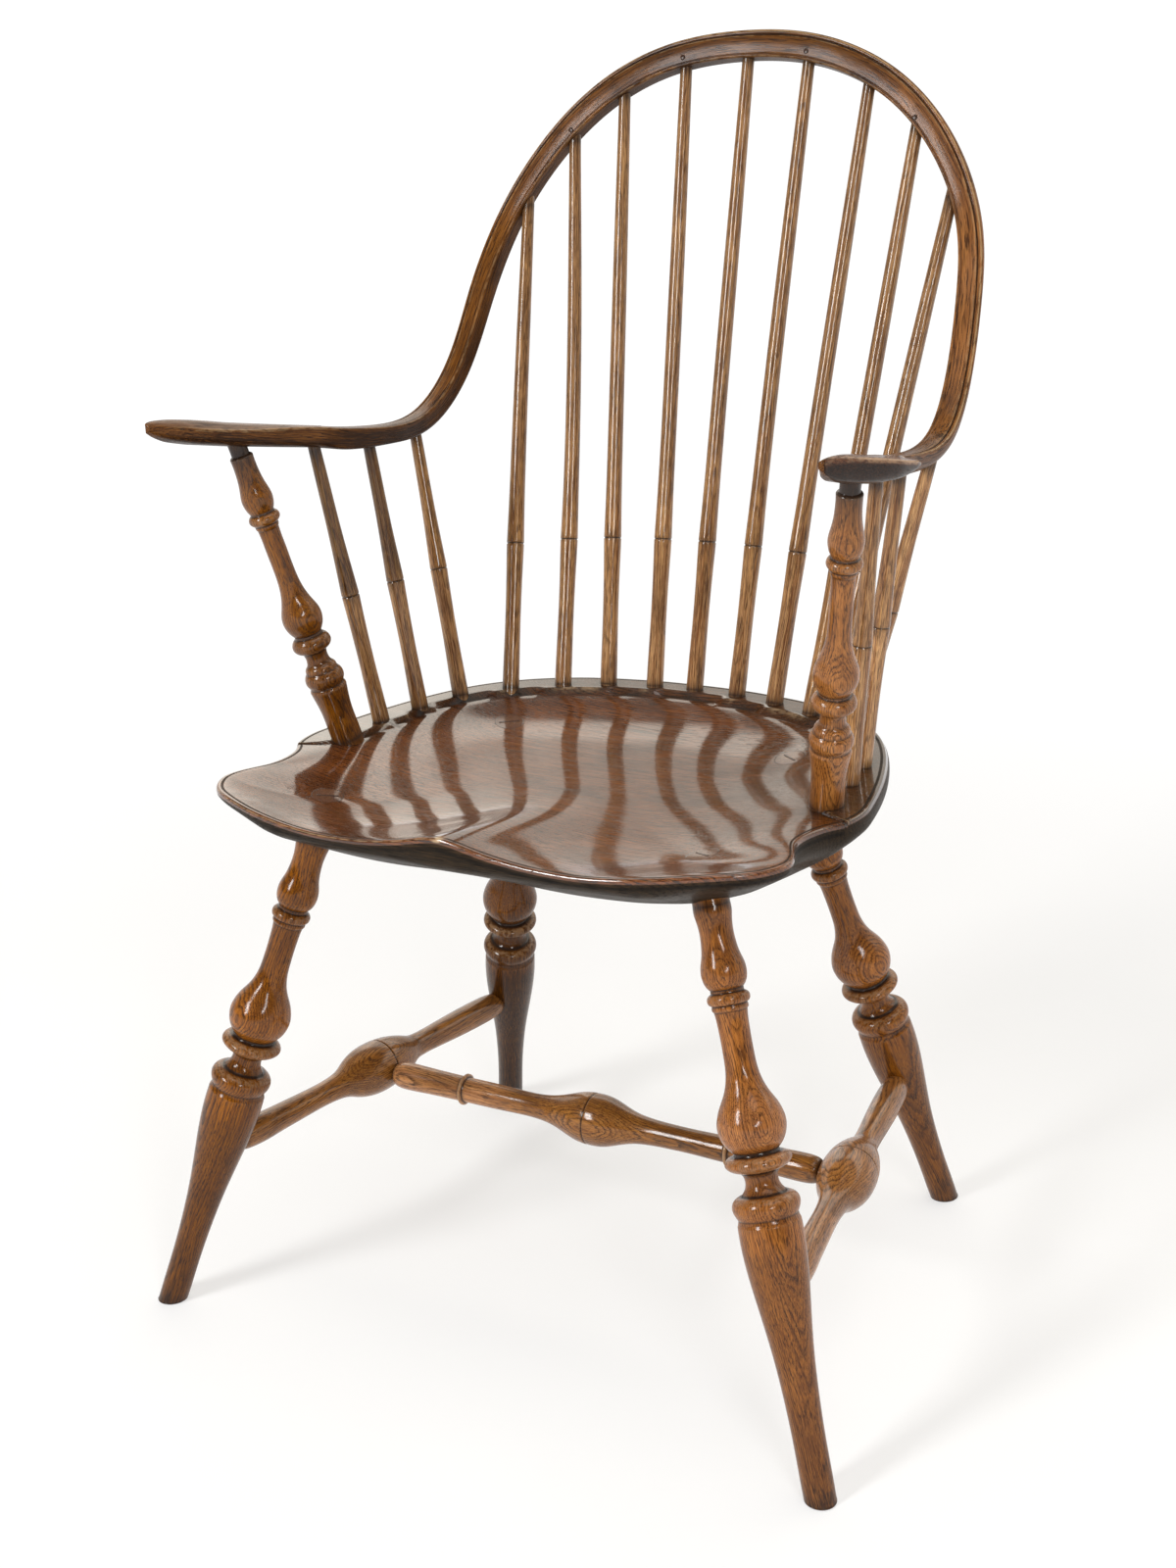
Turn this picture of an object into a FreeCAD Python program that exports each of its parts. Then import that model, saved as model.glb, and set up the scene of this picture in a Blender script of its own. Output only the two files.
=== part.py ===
import FreeCAD, Part
import Sketcher
import math, os

V = FreeCAD.Vector
doc = FreeCAD.newDocument("windsor_chair")

# ---------------------------------------------------------------- sizes
sheet = doc.addObject("Spreadsheet::Sheet", "dims")
DIMS = [
    ("deck_height", 440.0), ("deck_rise", 0.02), ("seat_underside", 396.0),
    ("saddle_drop", 19.0), ("pommel_height", 447.0), ("lip_low", 433.0), ("horn_height", 441.8),
    ("leg_foot_rad", 11.6), ("leg_taper_rad", 22.9), ("leg_collar_rad", 24.2), ("leg_bulb_rad", 24.5),
    ("leg_neck_rad", 10.9), ("leg_vase_rad", 16.2), ("leg_tenon_rad", 12.4), ("leg_length", 470.0),
    ("rear_shift", 10.2),
    ("post_base_rad", 12.6), ("post_bulb_rad", 16.2), ("post_neck_rad", 8.2), ("post_pin_rad", 7.2),
    ("spindle_base_rad", 7.3), ("spindle_ring_rad", 7.6), ("spindle_top_rad", 5.0),
    ("spindle_socket", 25.0), ("spindle_tenon", 11.0),
    ("short_ring_rad", 7.4), ("short_top_rad", 5.0),
    ("side_bulb_rad", 22.5), ("side_tenon_rad", 7.5), ("medial_bulb_rad", 21.8), ("medial_tenon_rad", 6.5),
    ("bow_width", 20.4), ("bow_depth", 15.9), ("peg_rad", 2.1), ("peg_length", 9.0),
    ("wedge_thick", 1.6), ("wedge_width", 24.0), ("wedge_depth", 16.0), ("fit_gap", 0.04),
]
for i, (nm, val) in enumerate(DIMS):
    r = i + 1
    sheet.set("A%d" % r, nm)
    sheet.set("B%d" % r, repr(val))
    sheet.setAlias("B%d" % r, nm)
doc.recompute()


def dim(nm):
    v = getattr(sheet, nm)
    return float(v.Value if hasattr(v, "Value") else v)


YO = -58.6          # the fitted frame is shifted so that the plan centre is the origin


def P(x, y, z):
    return V(x, y + YO, z)


# ---------------------------------------------------------------- helpers
def unit(v):
    return V(v).multiply(1.0 / v.Length)


def lerp(tab, x):
    if x <= tab[0][0]:
        return tab[0][1]
    for (a, fa), (b, fb) in zip(tab, tab[1:]):
        if x <= b:
            k = (x - a) / (b - a)
            return fa + (fb - fa) * k
    return tab[-1][1]


def smooth(a, b, x):
    k = min(1.0, max(0.0, (x - a) / float(b - a)))
    return k * k * (3 - 2 * k)


def place(obj, base, axis):
    obj.Placement = FreeCAD.Placement(base, FreeCAD.Rotation(V(0, 0, 1), axis))


def turned(name, segs, base, axis, binds=()):
    """A lathe piece: segs is a list of smooth runs [(s, r), ...] that share end points.
    binds: (run number, which end, alias) ties an end radius to the sheet."""
    body = doc.addObject("PartDesign::Body", name + "_body")
    sk = body.newObject("Sketcher::SketchObject", name + "_profile")
    plane = [o for o in body.Origin.OriginFeatures if o.Role == "XZ_Plane"][0]
    sk.AttachmentSupport = (plane, [""])
    sk.MapMode = "FlatFace"
    geo = []
    s0, s1 = segs[0][0][0], segs[-1][-1][0]
    geo.append(Part.LineSegment(V(0, s1, 0), V(0, s0, 0)))
    geo.append(Part.LineSegment(V(0, s0, 0), V(segs[0][0][1], s0, 0)))
    ids = []
    for run in segs:
        pts = [V(r, s, 0) for s, r in run]
        ids.append(len(geo))
        if len(pts) == 2:
            geo.append(Part.LineSegment(pts[0], pts[1]))
        else:
            c = Part.BSplineCurve()
            c.interpolate(pts)
            geo.append(c)
    geo.append(Part.LineSegment(V(segs[-1][-1][1], s1, 0), V(0, s1, 0)))
    sk.addGeometry(geo, False)
    for k, (run, end, alias) in enumerate(binds):
        pt = segs[run][0] if end == 1 else segs[run][-1]
        c = sk.addConstraint(Sketcher.Constraint("DistanceX", -1, 1, ids[run], end, pt[1]))
        sk.renameConstraint(c, "rad%d" % k)
        sk.setExpression("Constraints.rad%d" % k, "dims." + alias)
    doc.recompute()
    rev = body.newObject("PartDesign::Revolution", name + "_turn")
    rev.Profile = sk
    rev.ReferenceAxis = (sk, ["V_Axis"])
    rev.Angle = 360.0
    body.Tip = rev
    place(body, base, axis)
    doc.recompute()
    return body


def rod(name, base, axis, rad, length, bind=None):
    c = doc.addObject("Part::Cylinder", name)
    if bind:
        c.setExpression("Radius", bind)
    else:
        c.Radius = rad
    c.Height = length
    place(c, base, axis)
    return c


def cone(name, base, axis, r1, r2, length):
    c = doc.addObject("Part::Cone", name)
    c.Radius1, c.Radius2, c.Height = r1, r2, length
    place(c, base, axis)
    return c


def compound(name, objs):
    c = doc.addObject("Part::Compound", name)
    c.Links = objs
    return c


def cut(name, a, b):
    c = doc.addObject("Part::Cut", name)
    c.Base = a
    c.Tool = b
    return c


NODES = []


def node(obj, label):
    obj.Label = label
    NODES.append((label, obj))


gap = dim("fit_gap")

# ---------------------------------------------------------------- seat
# half outline of the plank, back centre to front centre, right-hand side
OUT = [(0, 217), (40, 215.6), (75, 210.5), (107, 203), (131, 193), (151, 180.5), (170, 164), (187, 144),
       (201, 121), (212, 97), (221, 72), (229, 45), (236, 15), (241, -12), (243, -30), (241.5, -40),
       (236, -50), (230, -65), (227, -84), (229, -101), (234, -113), (238.5, -124), (240.5, -136),
       (236, -150), (226, -163), (208, -175), (184, -185), (157, -191.5), (125, -195.5), (95, -197.5),
       (65, -198.5), (38, -199.5), (16, -201), (0, -201.5)]
# the same points on the flat underside
BOT = [(0, 180), (33.6, 179), (63, 175), (90, 169), (110, 161), (127, 151), (143, 138), (157.5, 121),
       (169, 102), (178, 82), (186, 60), (193, 38), (200, 12), (203, -12), (204, -27), (203.5, -36),
       (202, -45), (200, -56), (197, -68), (194, -80), (191.5, -88), (188, -96), (183.5, -103),
       (178, -111), (171, -119), (161, -127), (148, -133.5), (130, -139.5), (107, -143.5), (82, -145.5),
       (56, -144.5), (33, -142), (14, -141), (0, -140.5)]
FULL = OUT + [(-x, y) for x, y in OUT[-2:0:-1]]
FBOT = BOT + [(-x, y) for x, y in BOT[-2:0:-1]]


def edge_ring(z, f_front, f_side, f_horn, bulge):
    """outline of the plank at height z, between the top outline and the underside"""
    pts = []
    for (x, y), (u, v) in zip(FULL, FBOT):
        w = smooth(-48, -128, y)
        f = f_side + (f_front - f_side) * w
        f += (f_horn - f) * smooth(150, 215, abs(x)) * smooth(-85, -120, y)
        nx, ny = x / 235.0 ** 2, (y - 8) / 213.0 ** 2
        k = math.hypot(nx, ny)
        d = bulge * smooth(120, 195, abs(x)) * smooth(-45, -5, y)
        pts.append(P(x + (u - x) * f + nx / k * d, y + (v - y) * f + ny / k * d, z))
    c = Part.BSplineCurve()
    c.interpolate(pts, PeriodicFlag=True)
    return Part.Wire([c.toShape()])


zb = dim("seat_underside")
dk = dim("deck_height")
th = dk - zb
# share of the thickness, then how far towards the underside outline the edge lies at the front,
# the sides and the horns, and how far the side wall stands out
RINGS = [(0.0, 1, 1, 1, 0), (0.03, 0.94, 0.9, 0.96, 0), (0.09, 0.83, 0.77, 0.9, 0), (0.205, 0.655, 0.57, 0.78, 0),
         (0.32, 0.474, 0.38, 0.62, 0.5), (0.43, 0.302, 0.23, 0.47, 1.5), (0.545, 0.138, 0.1, 0.34, 3.5),
         (0.64, 0.05, 0.03, 0.22, 5.2), (0.73, 0.014, 0, 0.12, 6.2), (0.84, 0, 0, 0.04, 6.5), (0.95, 0, 0, 0, 6),
         (1.02, 0.005, 0.005, 0.005, 4.6), (1.35, 0.025, 0.025, 0.025, 3)]
blank = Part.makeLoft([edge_ring(zb + th * q[0], *q[1:]) for q in RINGS], True, True)


def deck_z(x, y):
    return dk + dim("deck_rise") * y


# deck plane: everything above it goes
over = Part.makeBox(700, 700, 120, V(-350, -350, 0))
over.Placement = FreeCAD.Placement(P(0, 0, dk), FreeCAD.Rotation(V(1, 0, 0), math.degrees(math.atan(dim("deck_rise")))))
blank = blank.cut(over)

GUT = [(0, 191), (30, 188.8), (55, 183.5), (80, 177), (104, 169), (131, 157), (155, 142), (175, 121),
       (187, 98), (194, 70), (198.5, 35), (203, 4), (207.5, -14), (219, -28), (232, -36.5), (262, -47)]


def gutter_dist(x, y):
    best = 1e9
    x = abs(x)
    for (ax, ay), (bx, by) in zip(GUT, GUT[1:]):
        ux, uy = bx - ax, by - ay
        k = min(1.0, max(0.0, ((x - ax) * ux + (y - ay) * uy) / (ux * ux + uy * uy)))
        best = min(best, math.hypot(x - ax - ux * k, y - ay - uy * k))
    # sign: inside the saddle is towards the middle of the seat
    inside = y < lerp([(a, b) for a, b in GUT[:8]], x) if x < 175 else None
    if inside is None:
        inside = x < lerp(sorted([(b, a) for a, b in GUT[7:13]]), y) if y > -14 else True
    return best if inside else -best


LIP = [(0, 1.0), (12, 0.88), (30, 0.55), (50, 0.28), (75, 0.08), (105, 0.0)]


def lip_z(x):
    x = abs(x)
    if x < 105:
        return dim("lip_low") + (dim("pommel_height") - dim("lip_low")) * lerp(LIP, x)
    return dim("lip_low") + (dim("horn_height") - dim("lip_low")) * smooth(105, 225, x)


def front_dist(x, y):
    """distance to the horns and the front lip"""
    best = 1e9
    x = abs(x)
    for (ax, ay), (bx, by) in zip(OUT[15:], OUT[16:]):
        ux, uy = bx - ax, by - ay
        k = min(1.0, max(0.0, ((x - ax) * ux + (y - ay) * uy) / (ux * ux + uy * uy)))
        best = min(best, math.hypot(x - ax - ux * k, y - ay - uy * k))
    # negative outside the plank
    if y < -201 + 40 * smooth(60, 235, x) or x > 236 and y < -38:
        return -best
    return best


def saddle_z(x, y):
    s = gutter_dist(x, y)
    f = front_dist(x, y)
    wf = smooth(-5, -165, y) + (smooth(-5, -118, y) - smooth(-5, -165, y)) * smooth(150, 225, abs(x))
    base = dk - 2.2 + 0.5 * dim("deck_rise") * y
    z = base + (lip_z(x) - base) * wf
    if s > 0 and f > 0:
        z -= dim("saddle_drop") * (1 - math.exp(-(s / 40.0) ** 1.35)) * (1 - math.exp(-(f / 78.0) ** 1.25))
    return z


nx_, ny_ = 37, 33
grid = []
for i in range(nx_):
    x = -270 + 540.0 * i / (nx_ - 1)
    grid.append([P(x, y, saddle_z(x, y)) for y in [-232 + 462.0 * j / (ny_ - 1) for j in range(ny_)]])
surf = Part.BSplineSurface()
surf.approximate(Points=grid, DegMin=3, DegMax=5, Tolerance=0.25, Continuity=2)
sface = surf.toShape()
above = sface.extrude(V(0, 0, 80))

half = [P(x, y, 380) for x, y in GUT[:12]]
mirror = [P(-x, y, 380) for x, y in GUT[1:12]][::-1]
gc = Part.BSplineCurve()
gc.interpolate(mirror + half)
tail = [P(x, y, 380) for x, y in GUT[11:]]
tc = Part.BSplineCurve()
tc.interpolate(tail)
tcm = Part.BSplineCurve()
tcm.interpolate([P(-x, y, 380) for x, y in GUT[11:]])
box = [P(262, -47, 380), P(262, -228, 380), P(-262, -228, 380), P(-262, -47, 380)]
w = Part.Wire(Part.__sortEdges__([gc.toShape(), tc.toShape(), tcm.toShape()] +
                                 [Part.LineSegment(a, b).toShape() for a, b in zip(box, box[1:])]))
prism = Part.Face(w).extrude(V(0, 0, 90))
scoop = above.common(prism)
seat_shape = blank.cut(scoop)
if seat_shape.ShapeType != "Solid":
    seat_shape = max(seat_shape.Solids, key=lambda s: s.Volume)
seat_carved = doc.addObject("Part::Feature", "seat_carved")
seat_carved.Shape = seat_shape
scoop_obj = doc.addObject("Part::Feature", "saddle_scoop")
scoop_obj.Shape = above

# ---------------------------------------------------------------- legs
# (distance from the foot, radius)
LEG = [
    [(0, 10.4), (1.6, 11.4)],
    [(1.6, 11.4), (10, 11.6), (30, 11.6), (50, 11.8), (80, 13.0), (100, 14.4), (120, 16.5), (140, 19.0), (160, 21.4),
     (175, 22.6), (188, 22.9), (196, 22.7)],
    [(196, 22.7), (198.4, 21.8)],
    [(198.4, 21.8), (200.6, 21.4)],
    [(200.6, 21.4), (202.6, 22.4), (206, 23.8), (209.5, 24.2), (213, 22.9), (215.4, 20.0), (216.6, 16.8)],
    [(216.6, 16.8), (217.4, 15.6)],
    [(217.4, 15.6), (219.5, 13.9), (223, 12.2), (227, 11.8), (230.5, 12.6), (233, 14.6)],
    [(233, 14.6), (234.2, 18.6), (236.2, 22.0), (239.4, 24.0), (242.4, 22.8), (244.4, 19.4), (245.2, 16.6)],
    [(245.2, 16.6), (247, 16.2)],
    [(247, 16.2), (249.5, 18.6), (254.5, 22.0), (260, 23.9), (266, 24.5), (272, 23.4), (278, 21.2), (284, 18.0), (290, 15.0),
     (296, 13.0), (304, 11.5), (314, 11.0), (324, 10.9), (334, 11.1), (342, 11.5), (346, 12.0)],
    [(346, 12.0), (346.6, 12.8), (348.6, 13.1), (350.4, 12.7)],
    [(350.4, 12.7), (351.4, 14.3), (353.6, 15.3), (356, 15.1), (358, 13.6), (359, 11.9)],
    [(359, 11.9), (361.4, 11.9)],
    [(361.4, 11.9), (364, 14.0), (368, 15.6), (373.5, 16.2), (379, 15.5), (385, 13.8), (391, 12.7), (398, 12.1), (404, 12.1),
     (410, 12.7), (416, 13.5), (424, 13.4)],
    [(424, 13.4), (470, 12.4)],
]
FRONT = (P(290.9, -207.4, 0), P(160.5, -108.6, 430))
REAR = (P(223.8, 219.2, 0), P(129.6, 107.6, 430))


def scaled_leg(shift):
    out = []
    for run in LEG:
        rr = []
        for s, r in run:
            k = s - shift * smooth(20, 150, s)
            rr.append((k, r))
        out.append(rr)
    return out


def mir(v, sx):
    return V(v.x * sx, v.y, v.z)


legs, leg_axes = {}, {}
hole_tools = []
for tag, (a, b), shift in (("front", FRONT, 0.0), ("rear", REAR, dim("rear_shift"))):
    for side, sx in (("left", -1), ("right", 1)):
        A, B = mir(a, sx), mir(b, sx)
        ax = unit(B.sub(A))
        # the axis leans, so the foot is cut level with the floor below
        nm = "leg_%s_%s" % (tag, side)
        segs = scaled_leg(shift)
        low = 12.0 * math.sqrt(1 - ax.z ** 2) / ax.z
        segs[0] = [(-low, 11.5), (1.6, 11.5)]
        segs[1][0] = (1.6, 11.5)
        bd = [(14, 2, "leg_tenon_rad")]
        leg = turned(nm, segs, A, ax, bd)
        legs[nm] = leg
        leg_axes[nm] = (A, ax, shift)
        s0 = 424.0 - shift * smooth(20, 150, 424.0)
        hole_tools.append(cone("hole_" + nm, A + ax * (s0 - 30), ax, 13.4 + gap + 30.0 / 46.0, 12.4 + gap,
                               (470.0 - shift) - (s0 - 30)))

# ---------------------------------------------------------------- stretchers
SA, SB = P(249.8, -176.9, 133.0), P(196.5, 186.3, 126.7)
SLEN = SB.sub(SA).Length
SIDE = [
    [(6, 7.5), (19, 7.5)],
    [(19, 7.5), (20.5, 9.2), (24, 10.6), (30, 11.4), (40, 11.9), (50, 11.8), (60, 11.3), (75, 10.8), (100, 10.1), (115, 9.9),
     (127, 10.3), (138, 11.5), (146, 13.6), (153, 16.6), (161, 19.6), (171, 21.8), (181, 22.5), (189, 22.3)],
    [(189, 22.3), (190, 21.2)],
    [(190, 21.2), (191, 22.0)],
    [(191, 22.0), (199, 21.2), (208, 19.2), (217, 16.4), (224, 13.6), (230, 11.5), (237, 10.6), (250, 10.4), (266, 10.9),
     (285, 11.5), (305, 11.9), (325, 11.8), (336, 11.3), (343, 10.4), (347.5, 9.0), (349, 7.5)],
    [(349, 7.5), (SLEN - 6, 7.5)],
]
sides = {}
for side, sx in (("left", -1), ("right", 1)):
    A, B = mir(SA, sx), mir(SB, sx)
    nm = "side_stretcher_" + side
    sides[side] = (turned(nm, SIDE, A, unit(B.sub(A)), [(0, 1, "side_tenon_rad"), (5, 2, "side_tenon_rad")]), A, unit(B.sub(A)))

MX, MY, MZ = 223.1, 4.7, 127.8
# the swelling sits a little left of the middle
MED = [
    [(10, 6.5), (22.6, 6.5)],
    [(22.6, 6.5), (23.6, 8.6), (26.5, 10.4), (31, 11.4), (38, 11.7), (55, 11.3), (75, 10.9), (92, 10.7)],
    [(92, 10.7), (92.6, 12.4), (94, 13.6), (95.4, 12.4), (96, 10.7)],
    [(96, 10.7), (120, 10.6), (145, 10.2), (160, 10.1), (170, 10.6), (180, 12.0), (190, 14.6), (199, 17.7), (208, 20.4), (213, 21.3), (217.6, 21.7)],
    [(217.6, 21.7), (219, 20.6)],
    [(219, 20.6), (220.4, 21.7)],
    [(220.4, 21.7), (226, 21.6), (233, 20.7), (241, 18.4), (249, 15.6), (258, 13.0), (268, 11.4), (280, 10.5), (295, 10.1), (312, 10.0),
     (330, 10.4), (343, 10.6)],
    [(343, 10.6), (343.6, 12.4), (345, 13.6), (346.4, 12.4), (347, 10.6)],
    [(347, 10.6), (370, 11.0), (392, 11.3), (408, 11.6), (415, 11.3), (419.6, 10.4), (422.6, 8.6), (423.6, 6.5)],
    [(423.6, 6.5), (436.2, 6.5)],
]
medial = turned("medial_stretcher", MED, P(-MX, MY, MZ), V(1, 0, 0), [(0, 1, "medial_tenon_rad"), (9, 2, "medial_tenon_rad")])

# ---------------------------------------------------------------- arm posts
POST = [
    [(-22, 11.6), (-1, 12.6)],
    [(-1, 12.6), (12, 12.6), (24, 12.6), (32, 13.2), (40, 14.3), (46, 15.2)],
    [(46, 15.2), (47.6, 14.8), (48.6, 14.2)],
    [(48.6, 14.2), (50, 14.4), (52.5, 15.6), (55.5, 16.1), (59, 15.4), (61, 14.3)],
    [(61, 14.3), (62, 13.4), (64.6, 13.0), (66.6, 12.0)],
    [(66.6, 12.0), (68.6, 10.2), (72, 9.2), (76, 9.2), (79.4, 10.2)],
    [(79.4, 10.2), (80.6, 12.8), (82.6, 15.0), (85.5, 16.1), (88.6, 15.6), (91.4, 13.8), (93, 11.6)],
    [(93, 11.6), (95, 11.4)],
    [(95, 11.4), (98, 13.4), (102, 15.2), (107, 16.2), (111, 16.1), (115, 15.2), (120, 13.3), (125, 11.5), (131, 9.9), (138, 8.8),
     (146, 8.3), (158, 8.2), (170, 8.3), (180, 8.3), (186, 8.6)],
    [(186, 8.6), (187.4, 9.4), (190, 9.6)],
    [(190, 9.6), (191.4, 11.2), (193.6, 12.6), (195.8, 12.5), (198, 11.2), (199, 9.8)],
    [(199, 9.8), (200.4, 9.8)],
    [(200.4, 9.8), (203, 11.0), (207, 12.1), (211, 12.5), (215.5, 12.0), (221, 10.8), (228, 9.7), (235, 9.2), (241, 9.1), (245.6, 9.3)],
    [(245.6, 9.3), (246.6, 8.6), (247.4, 7.2)],
    [(247.4, 7.2), (266, 7.2)],
]
PB = {-1: P(210.5, -13.5, 439.7), 1: P(214.2, -13.5, 439.7)}
PT = {-1: P(254.9, -63.4, 684.0), 1: P(254.0, -63.4, 684.0)}
posts = {}
for side, sx in (("left", -1), ("right", 1)):
    A, B = mir(PB[sx], sx), mir(PT[sx], sx)
    ax = unit(B.sub(A))
    posts[side] = (turned("arm_post_" + side, POST, A, ax, [(14, 2, "post_pin_rad")]), A, ax)
    hole_tools.append(cone("hole_post_" + side, A + ax * (-22.6), ax, 11.6 + gap - 0.03, 12.6 + gap, 21.6))
    hole_tools.append(rod("hole_post_mouth_" + side, A + ax * (-1.0), ax, 12.6 + gap, 12.0))

# ---------------------------------------------------------------- bow
# the bend is by hand, so the two halves differ by a few millimetres
KR = [(0, 321.2, 964.8), (63.8, 317.3, 958.9), (130.3, 310.6, 931.0), (183.7, 295.2, 878.4), (210.9, 275.9, 823.7),
      (223.2, 244.4, 771.2), (228.6, 207.5, 713.6), (231.6, 162.4, 680.1), (231.5, 91.7, 676.4), (242.6, -6.8, 692.0),
      (259.6, -112.4, 709.0)]
KL = [(0, 321.2, 964.8), (64.8, 317.3, 957.8), (129.5, 310.6, 930.4), (184.1, 295.2, 879.0), (217.2, 275.9, 823.1),
      (226.4, 244.4, 771.5), (231.0, 207.5, 713.6), (233.3, 162.4, 681.5), (232.1, 91.7, 677.4), (242.6, -6.8, 692.0),
      (259.6, -112.4, 709.0)]
pts = [P(-x, y, z) for x, y, z in KL[:0:-1]] + [P(x, y, z) for x, y, z in KR]
path = Part.BSplineCurve()
path.interpolate(pts)
mid_u = path.parameter(P(*KR[0]))
end_u = path.LastParameter
HL = path.length(mid_u, end_u)
PSI = math.radians(14)
bw, bd_ = dim("bow_width"), dim("bow_depth")


def frame_at(u):
    p = path.value(u)
    t = unit(path.tangent(u)[0])
    nh = unit(V(0, -1, 0.31))
    sg = -1 if p.x < 0 else 1
    wv = V(sg * math.cos(PSI), math.sin(PSI), 0)
    na = wv.cross(t)
    if na.dot(V(0, -1, 1)) < 0:
        na = na.multiply(-1)
    na = unit(na)
    k = smooth(880, 740, p.z) if p.z < 880 else 0.0
    if p.y - YO < 200:
        k = 1.0
    n = nh * (1 - k) + na * k
    n = unit(n.sub(t * n.dot(t)))
    wd = unit(t.cross(n))
    if wd.dot(V(sg, 0, 0.6)) < 0:
        wd = wd.multiply(-1)
    return p, t, n, wd


# section: (share of half width, depth below the face); outward is positive
def section(w, e):
    h = w / 2.0
    return [(-h + 0.9, 0.15), (0.0, -0.5), (h - 1.4, 0.1), (h, 1.5), (h - 0.3, e * 0.52), (h - 3.2, e - 2.8),
            (h - 8.0, e), (-h + 2.2, e), (-h + 0.3, e - 1.6), (-h, e * 0.5), (-h, 1.0)]


def depth_at(p):
    """thickness behind the face: thinner in the arms, thicker again towards the hands"""
    y = p.y - YO
    if y > 150:
        return 14.8 + (bd_ + 0.4 - 14.8) * smooth(700, 800, p.z)
    return 14.8 + 2.7 * smooth(110, 44, y) if y < 110 else 14.8


# the arm in front of the last stick station is defined by plan curves of the hand
GLUE = [(40, 247.6), (12, 251.0), (-6.4, 253.4), (-60, 261.6), (-95, 266.6), (-115, 269.2), (-130, 270.8), (-140, 271.3), (-149, 270.8)]
INNER = [(40, 228.2), (12, 230.6), (-6.4, 233.0), (-40, 238.0), (-75, 242.6), (-92, 245.5), (-102, 248.8), (-112, 253.0), (-122, 257.4),
         (-132, 261.8), (-140, 265.2), (-147, 267.4)]
OUTER = [(60, 246.5), (45, 250.0), (32, 255.0), (18, 262.0), (5, 270.0), (-8, 278.0), (-20, 285.0), (-35, 292.0), (-50, 295.0), (-70, 294.4),
         (-85, 291.6), (-99, 287.4), (-113, 283.0), (-126, 278.6), (-138, 274.4), (-146, 271.6)]
ZTOP = [(40, 684.8), (12, 689.8), (-6.4, 693.0), (-60, 702.6), (-99, 710.4), (-126, 714.4), (-141, 715.4), (-149, 714.8)]
E_IN = [(40, 17.3), (0, 17.4), (-60, 17.8), (-90, 18.0), (-105, 17.6), (-118, 16.0), (-128, 14.0), (-136, 11.6), (-142, 9.0), (-147, 6.0)]
# how much lower the inner edge lies than the top of the swell
DROP = [(40, 0.0), (-6, 1.0), (-40, 3.0), (-70, 5.0), (-100, 6.0), (-120, 5.4), (-135, 3.6), (-147, 1.6)]
E_GL = [(40, 17.3), (0, 17.8), (-50, 18.4), (-90, 19.2), (-105, 19.0), (-118, 18.0), (-128, 16.4), (-136, 13.8), (-142, 11.0), (-149, 6.0)]
E_BK = [(36, 3.4), (20, 5.0), (0, 8.0), (-20, 12.0), (-40, 16.0), (-60, 18.4), (-90, 19.2), (-105, 19.0), (-118, 18.0), (-128, 16.4),
        (-136, 13.8), (-142, 11.0), (-149, 6.0)]
E_OUT = [(36, 2.2), (0, 2.4), (-20, 2.6), (-35, 3.2), (-45, 4.6), (-60, 8.0), (-80, 11.6), (-100, 13.2), (-120, 12.6), (-135, 9.6), (-146, 4.6)]


def tab(t, y):
    return lerp(sorted(t), y)


def stick_section(y, sx):
    xi, xg, z = tab(INNER, y), tab(GLUE, y), tab(ZTOP, y)
    if xg < xi + 4:
        xg = xi + 4
    ei, eg, dr = tab(E_IN, y), tab(E_GL, y), tab(DROP, y)
    k = min(1.0, (xg - xi) / 20.0)
    q = [(xi + 0.9 * k, 0.15 + dr), (xi + (xg - xi) * 0.5, -0.4 * k + dr * 0.34), (xg, 0.0), (xg, eg * 0.30), (xg, eg * 0.6),
         (xg, eg * 0.85), (xg, eg), (xi + 4.6 * k, ei + (eg - ei) * 0.25), (xi + 0.8 * k, dr + (ei - dr) * 0.84),
         (xi, dr + (ei - dr) * 0.5), (xi, dr + (ei - dr) * 0.07)]
    return [V(sx * x, y + YO, z - d) for x, d in q]


def block_section(y, sx):
    xg, xo, z = tab(GLUE, y), tab(OUTER, y), tab(ZTOP, y)
    xo = max(xo, xg + 0.8)
    eg, eo = tab(E_BK, y), tab(E_OUT, y)
    wth = xo - xg
    f = 2.8 * min(1.0, wth / 16.0)
    eo = min(f + eo, eg * 0.9)
    q = [(xg, 0.0), (xg + wth * 0.42, 0.3 * f / 2.8 - 0.3), (xo - min(2.4, wth * 0.3), f * 0.55), (xo, f), (xo, f + (eo - f) * 0.6),
         (xo - min(3.4, wth * 0.3), eo + (eg - eo) * 0.16), (xg + wth * 0.58, eo + (eg - eo) * 0.58),
         (xg + wth * 0.3, eo + (eg - eo) * 0.9), (xg, eg)]
    return [V(sx * x, y + YO, z - d) for x, d in q]


def poly(ptsl):
    return Part.makePolygon(ptsl + [ptsl[0]])


# back of the bow and both arms back to the hand
wires = []
NS = 46
stations = []
# parameter where the path reaches y = 40 on each arm
def u_at_y(yv, sgn):
    lo, hi = (mid_u, end_u)
    if sgn > 0:
        a, b = mid_u + (end_u - mid_u) * 0.62, end_u
    else:
        a, b = path.FirstParameter, mid_u - (mid_u - path.FirstParameter) * 0.62
    for _ in range(60):
        m = 0.5 * (a + b)
        y = path.value(m).y - YO
        if sgn > 0:
            if y > yv:
                a = m
            else:
                b = m
        else:
            if y > yv:
                b = m
            else:
                a = m
    return 0.5 * (a + b)


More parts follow.
